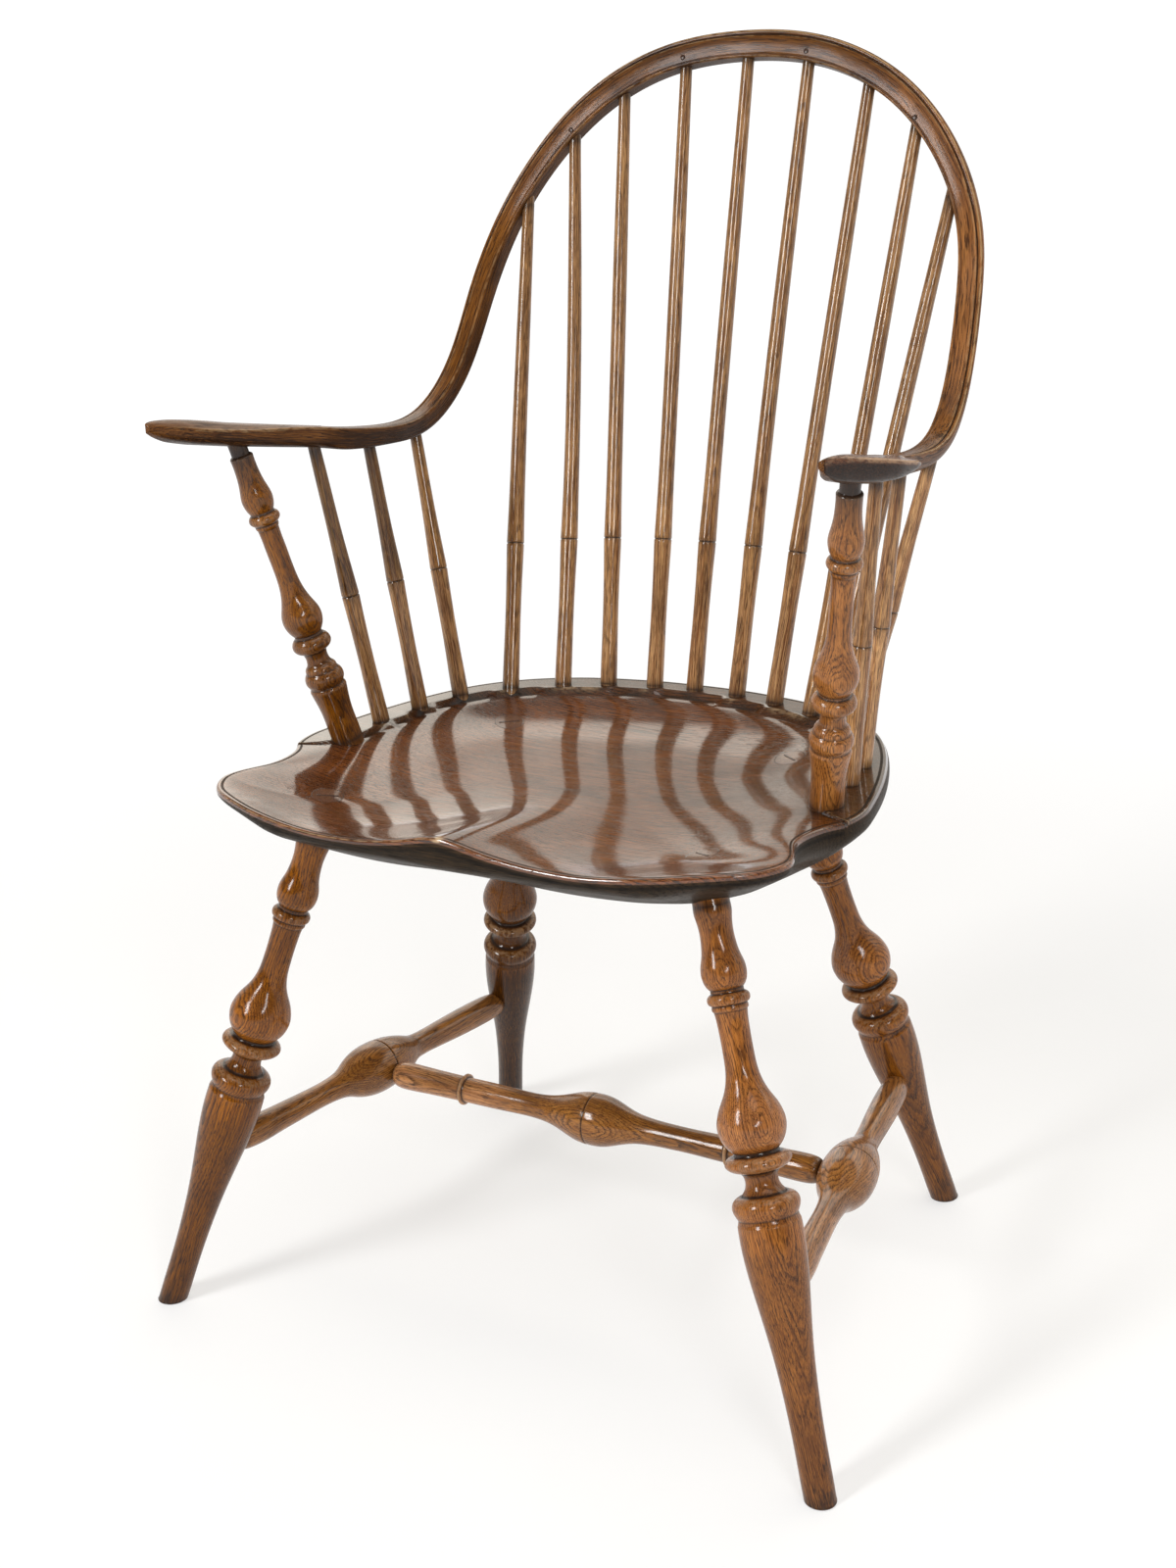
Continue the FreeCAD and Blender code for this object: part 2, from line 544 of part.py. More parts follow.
uR, uL = u_at_y(44, 1), u_at_y(44, -1)
l0, l1 = path.length(path.FirstParameter, uL), path.length(path.FirstParameter, uR)
for i in range(NS + 1):
    u = path.parameterAtDistance(l0 + (l1 - l0) * i / NS, path.FirstParameter)
    p, t, n, wd = frame_at(u)
    w = bw - 0.5 + 2.6 * smooth(830, 955, p.z)
    ring = [p + wd * a - n * b for a, b in section(w, depth_at(p))]
    stations.append(ring)
HY = [12, -20, -48, -72, -92, -106, -118, -128, -136, -142, -147]
right = [stick_section(y, 1) for y in HY]
left = [stick_section(y, -1) for y in HY]
arc_part = Part.makeLoft([poly(s) for s in stations], True, False)
tip_left = Part.makeLoft([poly(s) for s in [stations[0]] + left], True, True)
tip_right = Part.makeLoft([poly(s) for s in [stations[-1]] + right], True, True)
bow_solid = arc_part.fuse([tip_left, tip_right]).removeSplitter()
print("bow solids", len(bow_solid.Solids), bow_solid.isValid())
if bow_solid.ShapeType != "Solid":
    bow_solid = max(bow_solid.Solids, key=lambda s: s.Volume)
bow_raw = doc.addObject("Part::Feature", "bow_raw")
bow_raw.Shape = bow_solid

BY = [36, 22, 12, 3, -8, -20, -34, -48, -64, -80, -96, -110, -122, -132, -140, -146]
blocks = {}
for side, sx in (("left", -1), ("right", 1)):
    o = doc.addObject("Part::Feature", "hand_raw_" + side)
    o.Shape = Part.makeLoft([poly(block_section(y, sx)) for y in BY], True, True)
    blocks[side] = o
doc.recompute()

# ---------------------------------------------------------------- spindles
def long_profile(L):
    return [
        [(-25, 7.2), (0, 7.3)],
        [(0, 7.3), (20, 7.2), (45, 6.9), (75, 6.85), (100, 7.15), (115, 7.45), (125.2, 7.6)],
        [(125.2, 7.6), (126, 7.15)],
        [(126, 7.15), (126.8, 7.6)],
        [(126.8, 7.6), (140, 7.35), (165, 6.95), (200, 6.7), (0.58 * L, 6.4), (0.75 * L, 6.0), (0.88 * L, 5.5), (L, 5.0)],
        [(L, 5.0), (L + 11, 4.8)],
    ]


def short_profile(L):
    return [
        [(-25, 7.1), (0, 7.2)],
        [(0, 7.2), (20, 7.0), (45, 6.55), (70, 6.6), (90, 6.9), (109.2, 7.4)],
        [(109.2, 7.4), (110, 6.95)],
        [(110, 6.95), (110.8, 7.4)],
        [(110.8, 7.4), (125, 6.9), (145, 6.2), (170, 5.6), (L - 12, 5.2), (L, 5.0)],
        [(L, 5.0), (L + 11, 4.8)],
    ]


BASES = [(-154.6, 152), (-116.2, 177), (-79.4, 192.5), (-38.5, 201), (-1, 203), (39.9, 201), (78.7, 192.5), (118.5, 177), (145.5, 149)]
TOPX = [196.7, 156.3, 111.0, 54.4, 0.8, 56.9, 111.0, 155.8, 190.8]


def bow_under(xt, sg):
    """middle of the inner side of the bow at a given x on the back"""
    best = None
    far = end_u if sg > 0 else path.FirstParameter
    for i in range(400):
        u = mid_u + (far - mid_u) * 0.6 * i / 399.0
        p, t, n, wd = frame_at(u)
        q = p - wd * (bw / 2.0 + 0.4) - n * (bd_ * 0.5)
        d = abs(sg * q.x - xt)
        if best is None or d < best[0]:
            best = (d, q)
        if sg * q.x > xt + 3:
            break
    return best[1]


def arm_under(yt, sg):
    best = None
    far = end_u if sg > 0 else path.FirstParameter
    for i in range(400):
        u = mid_u + (far - mid_u) * (0.55 + 0.45 * i / 399.0)
        p, t, n, wd = frame_at(u)
        q = p - n * depth_at(p)
        if t.z > -0.75:
            d = abs(q.y - YO - yt)
            if best is None or d < best[0]:
                best = (d, q)
    return best[1]


spindles = {}
bow_holes = []
for i in range(9):
    bx, by = BASES[i]
    top = bow_under(TOPX[i], -1 if i < 4 else 1)
    A = P(bx, by, deck_z(bx, by))
    L = top.sub(A).Length
    ax = unit(top.sub(A))
    nm = "back_spindle_%d" % (i + 1)
    print("TOP", i + 1, round(top.x, 1), round(top.y - YO, 1), round(top.z, 1))
    spindles[nm] = (turned(nm, long_profile(L), A, ax, [(2, 1, "spindle_ring_rad"), (0, 2, "spindle_base_rad")]), A, ax, L)
    hole_tools.append(rod("hole_" + nm, A - ax * 25.4, ax, 7.3 + gap, 40))
    bow_holes.append(rod("socket_" + nm, A + ax * (L - 14), ax, 5.0 + gap, 25.4))
ARMY = {-1: [13.6, 77.8, 146.0], 1: [19.0, 79.0, 143.0]}
SB_ = {-1: [(210.6, 35.0), (200.0, 77.5), (185.8, 119.5)], 1: [(213.0, 33.5), (206.5, 72.5), (179.5, 117.5)]}
for side, sx in (("left", -1), ("right", 1)):
    for j in range(3):
        top = arm_under(ARMY[sx][j], sx)
        bx, by = SB_[sx][j]
        A = P(sx * bx, by, deck_z(0, by))
        L = top.sub(A).Length
        ax = unit(top.sub(A))
        nm = "arm_spindle_%s_%d" % (side, j + 1)
        print("TOP", nm, round(top.x, 1), round(top.y - YO, 1), round(top.z, 1))
        spindles[nm] = (turned(nm, short_profile(L), A, ax, [(2, 1, "short_ring_rad")]), A, ax, L)
        hole_tools.append(rod("hole_" + nm, A - ax * 25.4, ax, 7.2 + gap, 40))
        bow_holes.append(rod("socket_" + nm, A + ax * (L - 14), ax, 5.0 + gap, 25.4))

for side in ("left", "right"):
    b, A, ax = posts[side]
    bow_holes.append(rod("socket_post_" + side, A + ax * 247.0, ax, 7.2 + gap, 19.4))

# pegs through the front of the bow into every second back spindle
peg_tools, peg_nodes = [], []
for i in (1, 3, 5, 7):
    b, A, ax, L = spindles["back_spindle_%d" % (i + 1)]
    c = A + ax * (L + 6.5)
    best = None
    for k in range(600):
        u = path.FirstParameter + (path.LastParameter - path.FirstParameter) * k / 599.0
        p, t, n, wd = frame_at(u)
        d = (c - (p - n * (bd_ * 0.5))).Length
        if best is None or d < best[0]:
            best = (d, p, n, wd)
    d, p, n, wd = best
    face = c + n * (p - c).dot(n)
    peg = doc.addObject("Part::Cylinder", "bow_peg_%d" % (i + 1))
    peg.setExpression("Radius", "dims.peg_rad")
    peg.setExpression("Height", "dims.peg_length")
    place(peg, face + n * 0.45, n * -1)
    peg_nodes.append(peg)
    peg_tools.append(rod("peg_hole_%d" % (i + 1), face + n * 3.0, n * -1, dim("peg_rad") + gap, dim("peg_length") + 2.8))
doc.recompute()

# ---------------------------------------------------------------- joints cut
seat_tool = compound("seat_holes", hole_tools)
seat = cut("seat_cut", seat_carved, seat_tool)
node(seat, "seat")

bow_tool = compound("bow_sockets", bow_holes + peg_tools)
bow = cut("bow_cut", bow_raw, bow_tool)
node(bow, "arm_bow")

for side in ("left", "right"):
    hb = cut("hand_cut_" + side, blocks[side], compound("hand_tool_" + side, [doc.getObject("socket_post_" + side)]))
    node(hb, "hand_block_" + side)
    node(posts[side][0], "arm_post_" + side)

for nm, (b, A, ax, L) in spindles.items():
    k = int(nm.split("_")[-1]) if nm.startswith("back") else 0
    if k in (2, 4, 6, 8):
        t = [o for o in peg_tools if o.Name == "peg_hole_%d" % k][0]
        node(cut(nm + "_cut", b, compound(nm + "_tool", [t])), nm)
    else:
        node(b, nm)

floor = doc.addObject("Part::Box", "floor_cut")
floor.Length, floor.Width, floor.Height = 900, 900, 100
floor.Placement = FreeCAD.Placement(V(-450, -450, -100), FreeCAD.Rotation())

leg_tools = []
for nm, leg in legs.items():
    A, ax, shift = leg_axes[nm]
    side = "left" if nm.endswith("left") else "right"
    b, SA_, sax = sides[side]
    if "front" in nm:
        t = rod("mortise_" + nm, SA_ + sax * 5.5, sax, dim("side_tenon_rad") + gap, 24.0)
    else:
        t = rod("mortise_" + nm, SA_ + sax * (SLEN - 5.5 - 24.0), sax, dim("side_tenon_rad") + gap, 24.0)
    # wedge across the tenon end, running with the grain of the leg
    s_top = (dim("deck_height") - 22 - A.z) / ax.z
    tip = A + ax * s_top
    lat = unit(V(0, 1, 0).cross(ax))
    rotang = {"leg_front_left": 35, "leg_front_right": -30, "leg_rear_left": 40, "leg_rear_right": -38}[nm]
    rot = FreeCAD.Rotation(V(0, 0, 1), ax).multiply(FreeCAD.Rotation(V(0, 0, 1), rotang))
    wt, ww, wdp = dim("wedge_thick"), dim("wedge_width"), dim("wedge_depth")
    wedge = doc.addObject("Part::Wedge", "wedge_" + nm)
    wedge.Xmin, wedge.Xmax, wedge.Ymin, wedge.Ymax, wedge.Zmin, wedge.Zmax = -wt / 2, wt / 2, 0, wdp + 20, -ww / 2, ww / 2
    wedge.X2min, wedge.X2max, wedge.Z2min, wedge.Z2max = -wt / 2, wt / 2, -ww / 2, ww / 2
    wedge.Placement = FreeCAD.Placement(tip - ax * wdp, rot.multiply(FreeCAD.Rotation(V(1, 0, 0), 90)))
    slot = doc.addObject("Part::Feature", "slot_" + nm)
    doc.recompute()
    slot.Shape = wedge.Shape.copy()
    tool = compound("tools_" + nm, [t, floor, scoop_obj])
    c1 = cut(nm + "_trim", leg, tool)
    c2 = cut(nm + "_cut", c1, slot)
    node(c2, nm)
    wc = cut("wedge_trim_" + nm, wedge, compound("wedge_tool_" + nm, [scoop_obj]))
    core = cone("core_" + nm, A + ax * 400, ax, 12.3, 12.1, 90)
    wi = doc.addObject("Part::MultiCommon", "wedge_in_" + nm)
    wi.Shapes = [wc, core]
    node(wi, nm.replace("leg_", "leg_wedge_"))
doc.recompute()

for side in ("left", "right"):
    b, A, ax = sides[side]
    t = rod("mortise_bulb_" + side, P(-MX + 9.5, MY, MZ) if side == "left" else P(MX - 9.5, MY, MZ), V(1, 0, 0) if side == "left" else V(-1, 0, 0),
            dim("medial_tenon_rad") + gap, 30)
    node(cut("side_stretcher_cut_" + side, b, compound("bulb_tool_" + side, [t])), "side_stretcher_" + side)
node(medial, "medial_stretcher")

pegs = compound("bow_pegs_all", peg_nodes)
node(pegs, "bow_pegs")
doc.recompute()

# ---------------------------------------------------------------- check and write
os.makedirs("parts", exist_ok=True)
bad = 0
for o in doc.Objects:
    if any(x in ("Invalid", "Error") for x in o.State):
        print("STATE", o.Name, o.State)
        bad += 1
box = None
for label, o in NODES:
    s = o.Shape
    if s.isNull() or not s.isValid() or not s.Solids:
        print("SHAPE", label, s.isNull(), None if s.isNull() else s.isValid())
        bad += 1
        continue
    bb = s.BoundBox
    box = bb if box is None else box.united(bb)
    print("%-26s solids %d vol %9.1f  x %.1f..%.1f y %.1f..%.1f z %.1f..%.1f" % (label, len(s.Solids), s.Volume, bb.XMin, bb.XMax, bb.YMin, bb.YMax, bb.ZMin, bb.ZMax))
print("ALL x %.2f..%.2f y %.2f..%.2f z %.2f..%.2f" % (box.XMin, box.XMax, box.YMin, box.YMax, box.ZMin, box.ZMax), "bad", bad)
if bad:
    raise RuntimeError("invalid shapes")
for label, o in NODES:
    o.Shape.exportStep("parts/%s.step" % label)
print("written", len(NODES))
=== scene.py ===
import math

import bpy
import numpy as np
from mathutils import Matrix, Vector


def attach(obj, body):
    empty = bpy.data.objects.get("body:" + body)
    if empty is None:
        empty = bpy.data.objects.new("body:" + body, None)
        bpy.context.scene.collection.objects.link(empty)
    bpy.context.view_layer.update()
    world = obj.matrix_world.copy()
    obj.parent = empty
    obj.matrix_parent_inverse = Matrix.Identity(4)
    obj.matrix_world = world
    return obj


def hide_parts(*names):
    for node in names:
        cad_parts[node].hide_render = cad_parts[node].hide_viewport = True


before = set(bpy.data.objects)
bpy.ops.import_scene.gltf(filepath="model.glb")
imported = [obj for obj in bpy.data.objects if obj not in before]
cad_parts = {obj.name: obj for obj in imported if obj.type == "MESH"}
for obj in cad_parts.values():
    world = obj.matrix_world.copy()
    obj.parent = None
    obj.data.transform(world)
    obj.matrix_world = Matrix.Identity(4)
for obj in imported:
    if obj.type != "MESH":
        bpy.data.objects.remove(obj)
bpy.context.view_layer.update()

# ================================================================ numbers, all in millimetres
YO = -58.6


def P(x, y, z):
    return np.array([x, y + YO, z], float)


def unit(v):
    v = np.asarray(v, float)
    return v / np.linalg.norm(v)


def smooth(a, b, x):
    k = np.clip((np.asarray(x, float) - a) / float(b - a), 0.0, 1.0)
    return k * k * (3 - 2 * k)


def lerp(tab, x):
    t = sorted(tab)
    return np.interp(x, [q[0] for q in t], [q[1] for q in t])


def spline(ts, ys):
    """natural cubic spline"""
    ts, ys = np.asarray(ts, float), np.asarray(ys, float)
    one = ys.ndim == 1
    if one:
        ys = ys[:, None]
    n, h = len(ts), np.diff(ts)
    A, B = np.zeros((n, n)), np.zeros_like(ys)
    A[0, 0] = A[-1, -1] = 1
    for i in range(1, n - 1):
        A[i, i - 1], A[i, i], A[i, i + 1] = h[i - 1], 2 * (h[i - 1] + h[i]), h[i]
        B[i] = 6 * ((ys[i + 1] - ys[i]) / h[i] - (ys[i] - ys[i - 1]) / h[i - 1])
    M = np.linalg.solve(A, B)

    def f(t):
        t = np.atleast_1d(np.asarray(t, float))
        i = np.clip(np.searchsorted(ts, t, side="right") - 1, 0, n - 2)
        hh, a, b = h[i][:, None], (ts[i + 1] - t)[:, None], (t - ts[i])[:, None]
        v = (M[i] * a ** 3 + M[i + 1] * b ** 3) / (6 * hh) + (ys[i] / hh - M[i] * hh / 6) * a + (ys[i + 1] / hh - M[i + 1] * hh / 6) * b
        return v[:, 0] if one else v
    return f


def chord(pts):
    pts = np.asarray(pts, float)
    return np.concatenate([[0], np.cumsum(np.linalg.norm(np.diff(pts, axis=0), axis=1))])


def curve(pts, n=None, step=None):
    """points along a smooth curve through pts"""
    pts = np.asarray(pts, float)
    t = chord(pts)
    f = spline(t, pts)
    if step:
        n = max(2, int(math.ceil(t[-1] / step)) + 1)
    return f(np.linspace(0, t[-1], n))


def smooth_tab(tab):
    """a table read with a shape-keeping cubic, so that no kink shows in a gloss"""
    t = np.array(sorted(tab), float)
    x, y = t[:, 0], t[:, 1]
    d = np.diff(y) / np.diff(x)
    m = np.zeros(len(x))
    for i in range(1, len(x) - 1):
        if d[i - 1] * d[i] > 0:
            w1, w2 = 2 * (x[i + 1] - x[i]) + (x[i] - x[i - 1]), (x[i + 1] - x[i]) + 2 * (x[i] - x[i - 1])
            m[i] = (w1 + w2) / (w1 / d[i - 1] + w2 / d[i])
    m[0], m[-1] = d[0], d[-1]

    def f(q):
        q = np.clip(np.asarray(q, float), x[0], x[-1])
        i = np.clip(np.searchsorted(x, q, side="right") - 1, 0, len(x) - 2)
        h = x[i + 1] - x[i]
        u = (q - x[i]) / h
        return ((2 * u ** 3 - 3 * u ** 2 + 1) * y[i] + (u ** 3 - 2 * u ** 2 + u) * h * m[i] +
                (-2 * u ** 3 + 3 * u ** 2) * y[i + 1] + (u ** 3 - u ** 2) * h * m[i + 1])
    return f


rng = np.random.RandomState(4117)


def wobble(q, seed, size):
    """cheap smooth noise from a few sines, between about -1 and 1"""
    r = np.random.RandomState(seed)
    out = 0.0
    for k in range(5):
        d = r.normal(size=3)
        d = d / np.linalg.norm(d) * (2 * math.pi / size) * (0.6 + 0.9 * r.rand())
        out = out + np.sin(q[..., 0] * d[0] + q[..., 1] * d[1] + q[..., 2] * d[2] + r.rand() * 6.3)
    return out / 3.0


# ================================================================ mesh building
def shell(V, W, F, a=None, b=None, rows_mat=None):
    """a closed skin from a grid of rows x columns; the columns run round, and a and b are
    the middle points that close the two ends"""
    return {"V": V, "W": W, "F": F, "a": a, "b": b, "m": rows_mat}


def emit(name, shells, mats, nodes):
    vs, ws, fs, quads, tris, mq, mt = [], [], [], [], [], [], []
    base = 0
    for s in shells:
        n, m = s["V"].shape[:2]
        V = s["V"].reshape(-1, 3)
        W = s["W"].reshape(-1, 3)
        F = s["F"].reshape(-1, 4)
        ca = V[:m].mean(0) if s["a"] is None else s["a"]
        cb = V[-m:].mean(0) if s["b"] is None else s["b"]
        V = np.vstack([V, ca, cb])
        W = np.vstack([W, W[:m].mean(0), W[-m:].mean(0)])
        F = np.vstack([F, F[:m].mean(0), F[-m:].mean(0)])
        i = np.arange(n - 1)[:, None] * m
        j = np.arange(m)[None, :]
        k = (j + 1) % m
        q = np.stack([i + j, i + k, i + m + k, i + m + j], -1).reshape(-1, 4)
        j = np.arange(m)
        k = (j + 1) % m
        t = np.vstack([np.stack([np.full(m, n * m), k, j], -1),
                       np.stack([np.full(m, n * m + 1), (n - 1) * m + j, (n - 1) * m + k], -1)])
        p0, p1, p2, p3 = V[q[:, 0]], V[q[:, 1]], V[q[:, 2]], V[q[:, 3]]
        vol = (np.einsum("ij,ij->i", p0, np.cross(p1, p2)) + np.einsum("ij,ij->i", p0, np.cross(p2, p3))).sum()
        vol += np.einsum("ij,ij->i", V[t[:, 0]], np.cross(V[t[:, 1]], V[t[:, 2]])).sum()
        if vol < 0:
            q, t = q[:, ::-1], t[:, ::-1]
        rm = np.zeros(n - 1, int) if s["m"] is None else np.asarray(s["m"], int)
        mq.append(np.repeat(rm, m))
        mt.append(np.concatenate([np.full(m, rm[0]), np.full(m, rm[-1])]))
        vs.append(V)
        ws.append(W)
        fs.append(F)
        quads.append(q + base)
        tris.append(t + base)
        base += len(V)
    V, W, F = np.vstack(vs), np.vstack(ws), np.vstack(fs)
    Q, T = np.vstack(quads), np.vstack(tris)
    me = bpy.data.meshes.new(name)
    me.vertices.add(len(V))
    me.vertices.foreach_set("co", (V * 0.001).astype(np.float32).ravel())
    me.loops.add(len(Q) * 4 + len(T) * 3)
    me.loops.foreach_set("vertex_index", np.concatenate([Q.ravel(), T.ravel()]).astype(np.int32))
    me.polygons.add(len(Q) + len(T))
    start = np.concatenate([np.arange(len(Q)) * 4, len(Q) * 4 + np.arange(len(T)) * 3]).astype(np.int32)
    me.polygons.foreach_set("loop_start", start)
    me.polygons.foreach_set("loop_total", np.concatenate([np.full(len(Q), 4), np.full(len(T), 3)]).astype(np.int32))
    me.update(calc_edges=True)
    me.polygons.foreach_set("use_smooth", np.ones(len(Q) + len(T), bool))
    for mt_ in mats:
        me.materials.append(mt_)
    me.polygons.foreach_set("material_index", np.concatenate(mq + mt).astype(np.int32))
    at = me.attributes.new("wc", "FLOAT_VECTOR", "POINT")
    at.data.foreach_set("vector", W.astype(np.float32).ravel())
    at = me.attributes.new("fx", "FLOAT_COLOR", "POINT")
    at.data.foreach_set("color", F.astype(np.float32).ravel())
    me.validate(verbose=False)
    me.update()
    ob = bpy.data.objects.new(name, me)
    bpy.context.scene.collection.objects.link(ob)
    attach(ob, "root")
    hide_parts(*nodes)
    return ob


# ================================================================ wood, from nodes
def lin(c):
    out = []
    for v in c:
        v = v / 255.0
        out.append(v / 12.92 if v <= 0.04045 else ((v + 0.055) / 1.055) ** 2.4)
    return tuple(out) + (1.0,)


class Graph:
    def __init__(self, name):
        self.mat = bpy.data.materials.new(name)
        self.mat.use_nodes = True
        self.nt = self.mat.node_tree
        self.nt.nodes.clear()
        self.x = 0

    def new(self, kind, **props):
        n = self.nt.nodes.new(kind)
        self.x += 40
        n.location = (self.x, 0)
        for k, v in props.items():
            setattr(n, k, v)
        return n

    def put(self, sock, v):
        if isinstance(v, bpy.types.NodeSocket):
            self.nt.links.new(v, sock)
        else:
            sock.default_value = v

    def math(self, op, a, b=None, c=None, clamp=False):
        n = self.new("ShaderNodeMath", operation=op, use_clamp=clamp)
        self.put(n.inputs[0], a)
        if b is not None:
            self.put(n.inputs[1], b)
        if c is not None:
            self.put(n.inputs[2], c)
        return n.outputs[0]

    def vec(self, op, a, b=None, scale=None):
        n = self.new("ShaderNodeVectorMath", operation=op)
        self.put(n.inputs[0], a)
        if b is not None:
            self.put(n.inputs[1], b)
        if scale is not None:
            self.put(n.inputs["Scale"], scale)
        return n.outputs["Value"] if op in ("LENGTH", "DOT_PRODUCT", "DISTANCE") else n.outputs["Vector"]

    def split(self, v):
        n = self.new("ShaderNodeSeparateXYZ")
        self.put(n.inputs[0], v)
        return n.outputs[0], n.outputs[1], n.outputs[2]

    def join(self, x, y, z):
        n = self.new("ShaderNodeCombineXYZ")
        self.put(n.inputs[0], x)
        self.put(n.inputs[1], y)
        self.put(n.inputs[2], z)
        return n.outputs[0]

    def noise(self, v, scale=1.0, detail=2.0, rough=0.5, dist=0.0, out="Fac"):
        n = self.new("ShaderNodeTexNoise")
        self.put(n.inputs["Vector"], v)
        n.inputs["Scale"].default_value = scale
        n.inputs["Detail"].default_value = detail
        n.inputs["Roughness"].default_value = rough
        n.inputs["Distortion"].default_value = dist
        return n.outputs[out]

    def step(self, v, a, b, lo=0.0, hi=1.0, kind="SMOOTHSTEP"):
        n = self.new("ShaderNodeMapRange", interpolation_type=kind, clamp=True)
        self.put(n.inputs["Value"], v)
        for k, q in (("From Min", a), ("From Max", b), ("To Min", lo), ("To Max", hi)):
            self.put(n.inputs[k], q)
        return n.outputs["Result"]

    def mix(self, f, a, b, blend="MIX"):
        n = self.new("ShaderNodeMix", data_type="RGBA", blend_type=blend, clamp_factor=True)
        self.put(n.inputs[0], f)
        self.put(n.inputs[6], a)
        self.put(n.inputs[7], b)
        return n.outputs[2]

    def ramp(self, f, stops, kind="LINEAR"):
        n = self.new("ShaderNodeValToRGB")
        cr = n.color_ramp
        cr.interpolation = kind
        while len(cr.elements) < len(stops):
            cr.elements.new(0.5)
        for e, (p, c) in zip(cr.elements, stops):
            e.position = p
            e.color = c if len(c) == 4 else tuple(c) + (1.0,)
        self.put(n.inputs[0], f)
        return n.outputs[0]

    def attr(self, name):
        n = self.new("ShaderNodeAttribute", attribute_type="GEOMETRY", attribute_name=name)
        return n

    def bump(self, h, dist, strength, normal=None):
        n = self.new("ShaderNodeBump")
        n.inputs["Strength"].default_value = strength
        n.inputs["Distance"].default_value = dist
        self.put(n.inputs["Height"], h)
        if normal is not None:
            self.put(n.inputs["Normal"], normal)
        return n.outputs[0]


def wood(name, deep, mid, pale, line, ring=2.4, ring_amt=0.55, pores=0.75, pore_len=0.11, pore_size=1.5,
         grime=(38, 25, 18), worn=(176, 140, 104), rough=0.4, coat=0.45, coat_rough=0.07, ior=1.5, spec=0.12,
         bump=1.0, haze_shade_and_sheen=None, streak=0.5, coat_wave=0.05, wave_size=0.05, fibre=0.3, coat_grain=0.35):
    g = Graph(name)
    wc = g.attr("wc").outputs["Vector"]
    fxn = g.attr("fx")
    sep = g.new("ShaderNodeSeparateColor")
    g.put(sep.inputs[0], fxn.outputs["Color"])
    dirt, wear, tone = sep.outputs[0], sep.outputs[1], sep.outputs[2]
    extra = fxn.outputs["Alpha"]

    # slow wandering of the grain
    slow = g.noise(g.vec("MULTIPLY", wc, (0.028, 0.028, 0.0075)), 1.0, 3.0, 0.5, 0.0, "Color")
    warp = g.vec("MULTIPLY", g.vec("SUBTRACT", slow, (0.5, 0.5, 0.5)), (17.0, 17.0, 0.0))
    fine = g.noise(g.vec("MULTIPLY", wc, (0.22, 0.22, 0.035)), 1.0, 2.0, 0.5, 0.0, "Color")
    warp2 = g.vec("MULTIPLY", g.vec("SUBTRACT", fine, (0.5, 0.5, 0.5)), (1.5, 1.5, 0.0))
    pw = g.vec("ADD", g.vec("ADD", wc, warp), warp2)
    px, py, pz = g.split(pw)
    rad = g.vec("LENGTH", g.join(px, py, 0.0))
    turn = g.math("DIVIDE", rad, ring)
    ph = g.math("FRACT", turn)
    idx = g.math("FLOOR", turn)
    hsh = g.math("FRACT", g.math("MULTIPLY", g.math("SINE", g.math("MULTIPLY", idx, 12.9898)), 43758.5453))
    # early wood: a dark band that starts sharply and fades
    early = g.math("MULTIPLY", g.step(ph, 0.0, 0.07), g.step(ph, 0.16, 0.62, 1.0, 0.0))
    ringv = g.math("MULTIPLY", early, g.math("MULTIPLY_ADD", hsh, 0.6, 0.4))

    # vessels: short dark dashes that follow the grain, most of them in the early wood
    pv = g.noise(g.vec("MULTIPLY", wc, (pore_size, pore_size, pore_len)), 1.0, 1.5, 0.45, 0.15)
    gate = g.math("MULTIPLY_ADD", early, -0.09, 0.605)
    pore = g.step(pv, gate, g.math("ADD", gate, 0.045))
    pv2 = g.noise(g.vec("MULTIPLY", wc, (pore_size * 2.3, pore_size * 2.3, pore_len * 1.3)), 1.0, 1.0, 0.5, 0.0)
    pore2 = g.step(pv2, 0.58, 0.66)
    fib = g.noise(g.vec("MULTIPLY", wc, (1.9, 1.9, 0.035)), 1.0, 3.0, 0.65, 0.0)
    long_ = g.noise(g.vec("MULTIPLY", wc, (0.32, 0.32, 0.006)), 1.0, 3.0, 0.55, 0.0)
    blot = g.noise(g.vec("MULTIPLY", wc, (0.036, 0.036, 0.022)), 1.0, 3.0, 0.55, 0.0)

    base = g.mix(g.step(long_, 0.3, 0.7), lin(mid), lin(pale))
    base = g.mix(g.math("MULTIPLY", g.step(blot, 0.38, 0.68), streak), base, lin(deep))
    # mix towards the material's second colour by the fx alpha: a grey tint on the seat's deck and edge, painted shade
    # on the legs, bow and hands, a darkening at the posts' tops, and a painted sheen on the spindles' upper parts
    if haze_shade_and_sheen:
        base = g.mix(extra, base, lin(haze_shade_and_sheen))
    base = g.mix(g.math("MULTIPLY", ringv, ring_amt), base, lin(line))
    base = g.mix(g.math("MULTIPLY", g.step(fib, 0.48, 0.66), fibre), base, lin(pale))
    base = g.mix(g.math("MULTIPLY", g.step(fib, 0.52, 0.36), fibre), base, lin(deep))
    base = g.mix(g.math("MULTIPLY", pore, pores), base, lin(line))
    base = g.mix(g.math("MULTIPLY", pore2, pores * 0.5), base, lin(line))
    # tone of this piece
    hs = g.new("ShaderNodeHueSaturation")
    hs.inputs["Hue"].default_value = 0.5
    g.put(hs.inputs["Saturation"], g.math("MULTIPLY_ADD", tone, -0.2, 1.1))
    g.put(hs.inputs["Value"], g.math("MULTIPLY_ADD", tone, 1.1, 0.45))
    g.put(hs.inputs["Color"], base)
    base = hs.outputs[0]
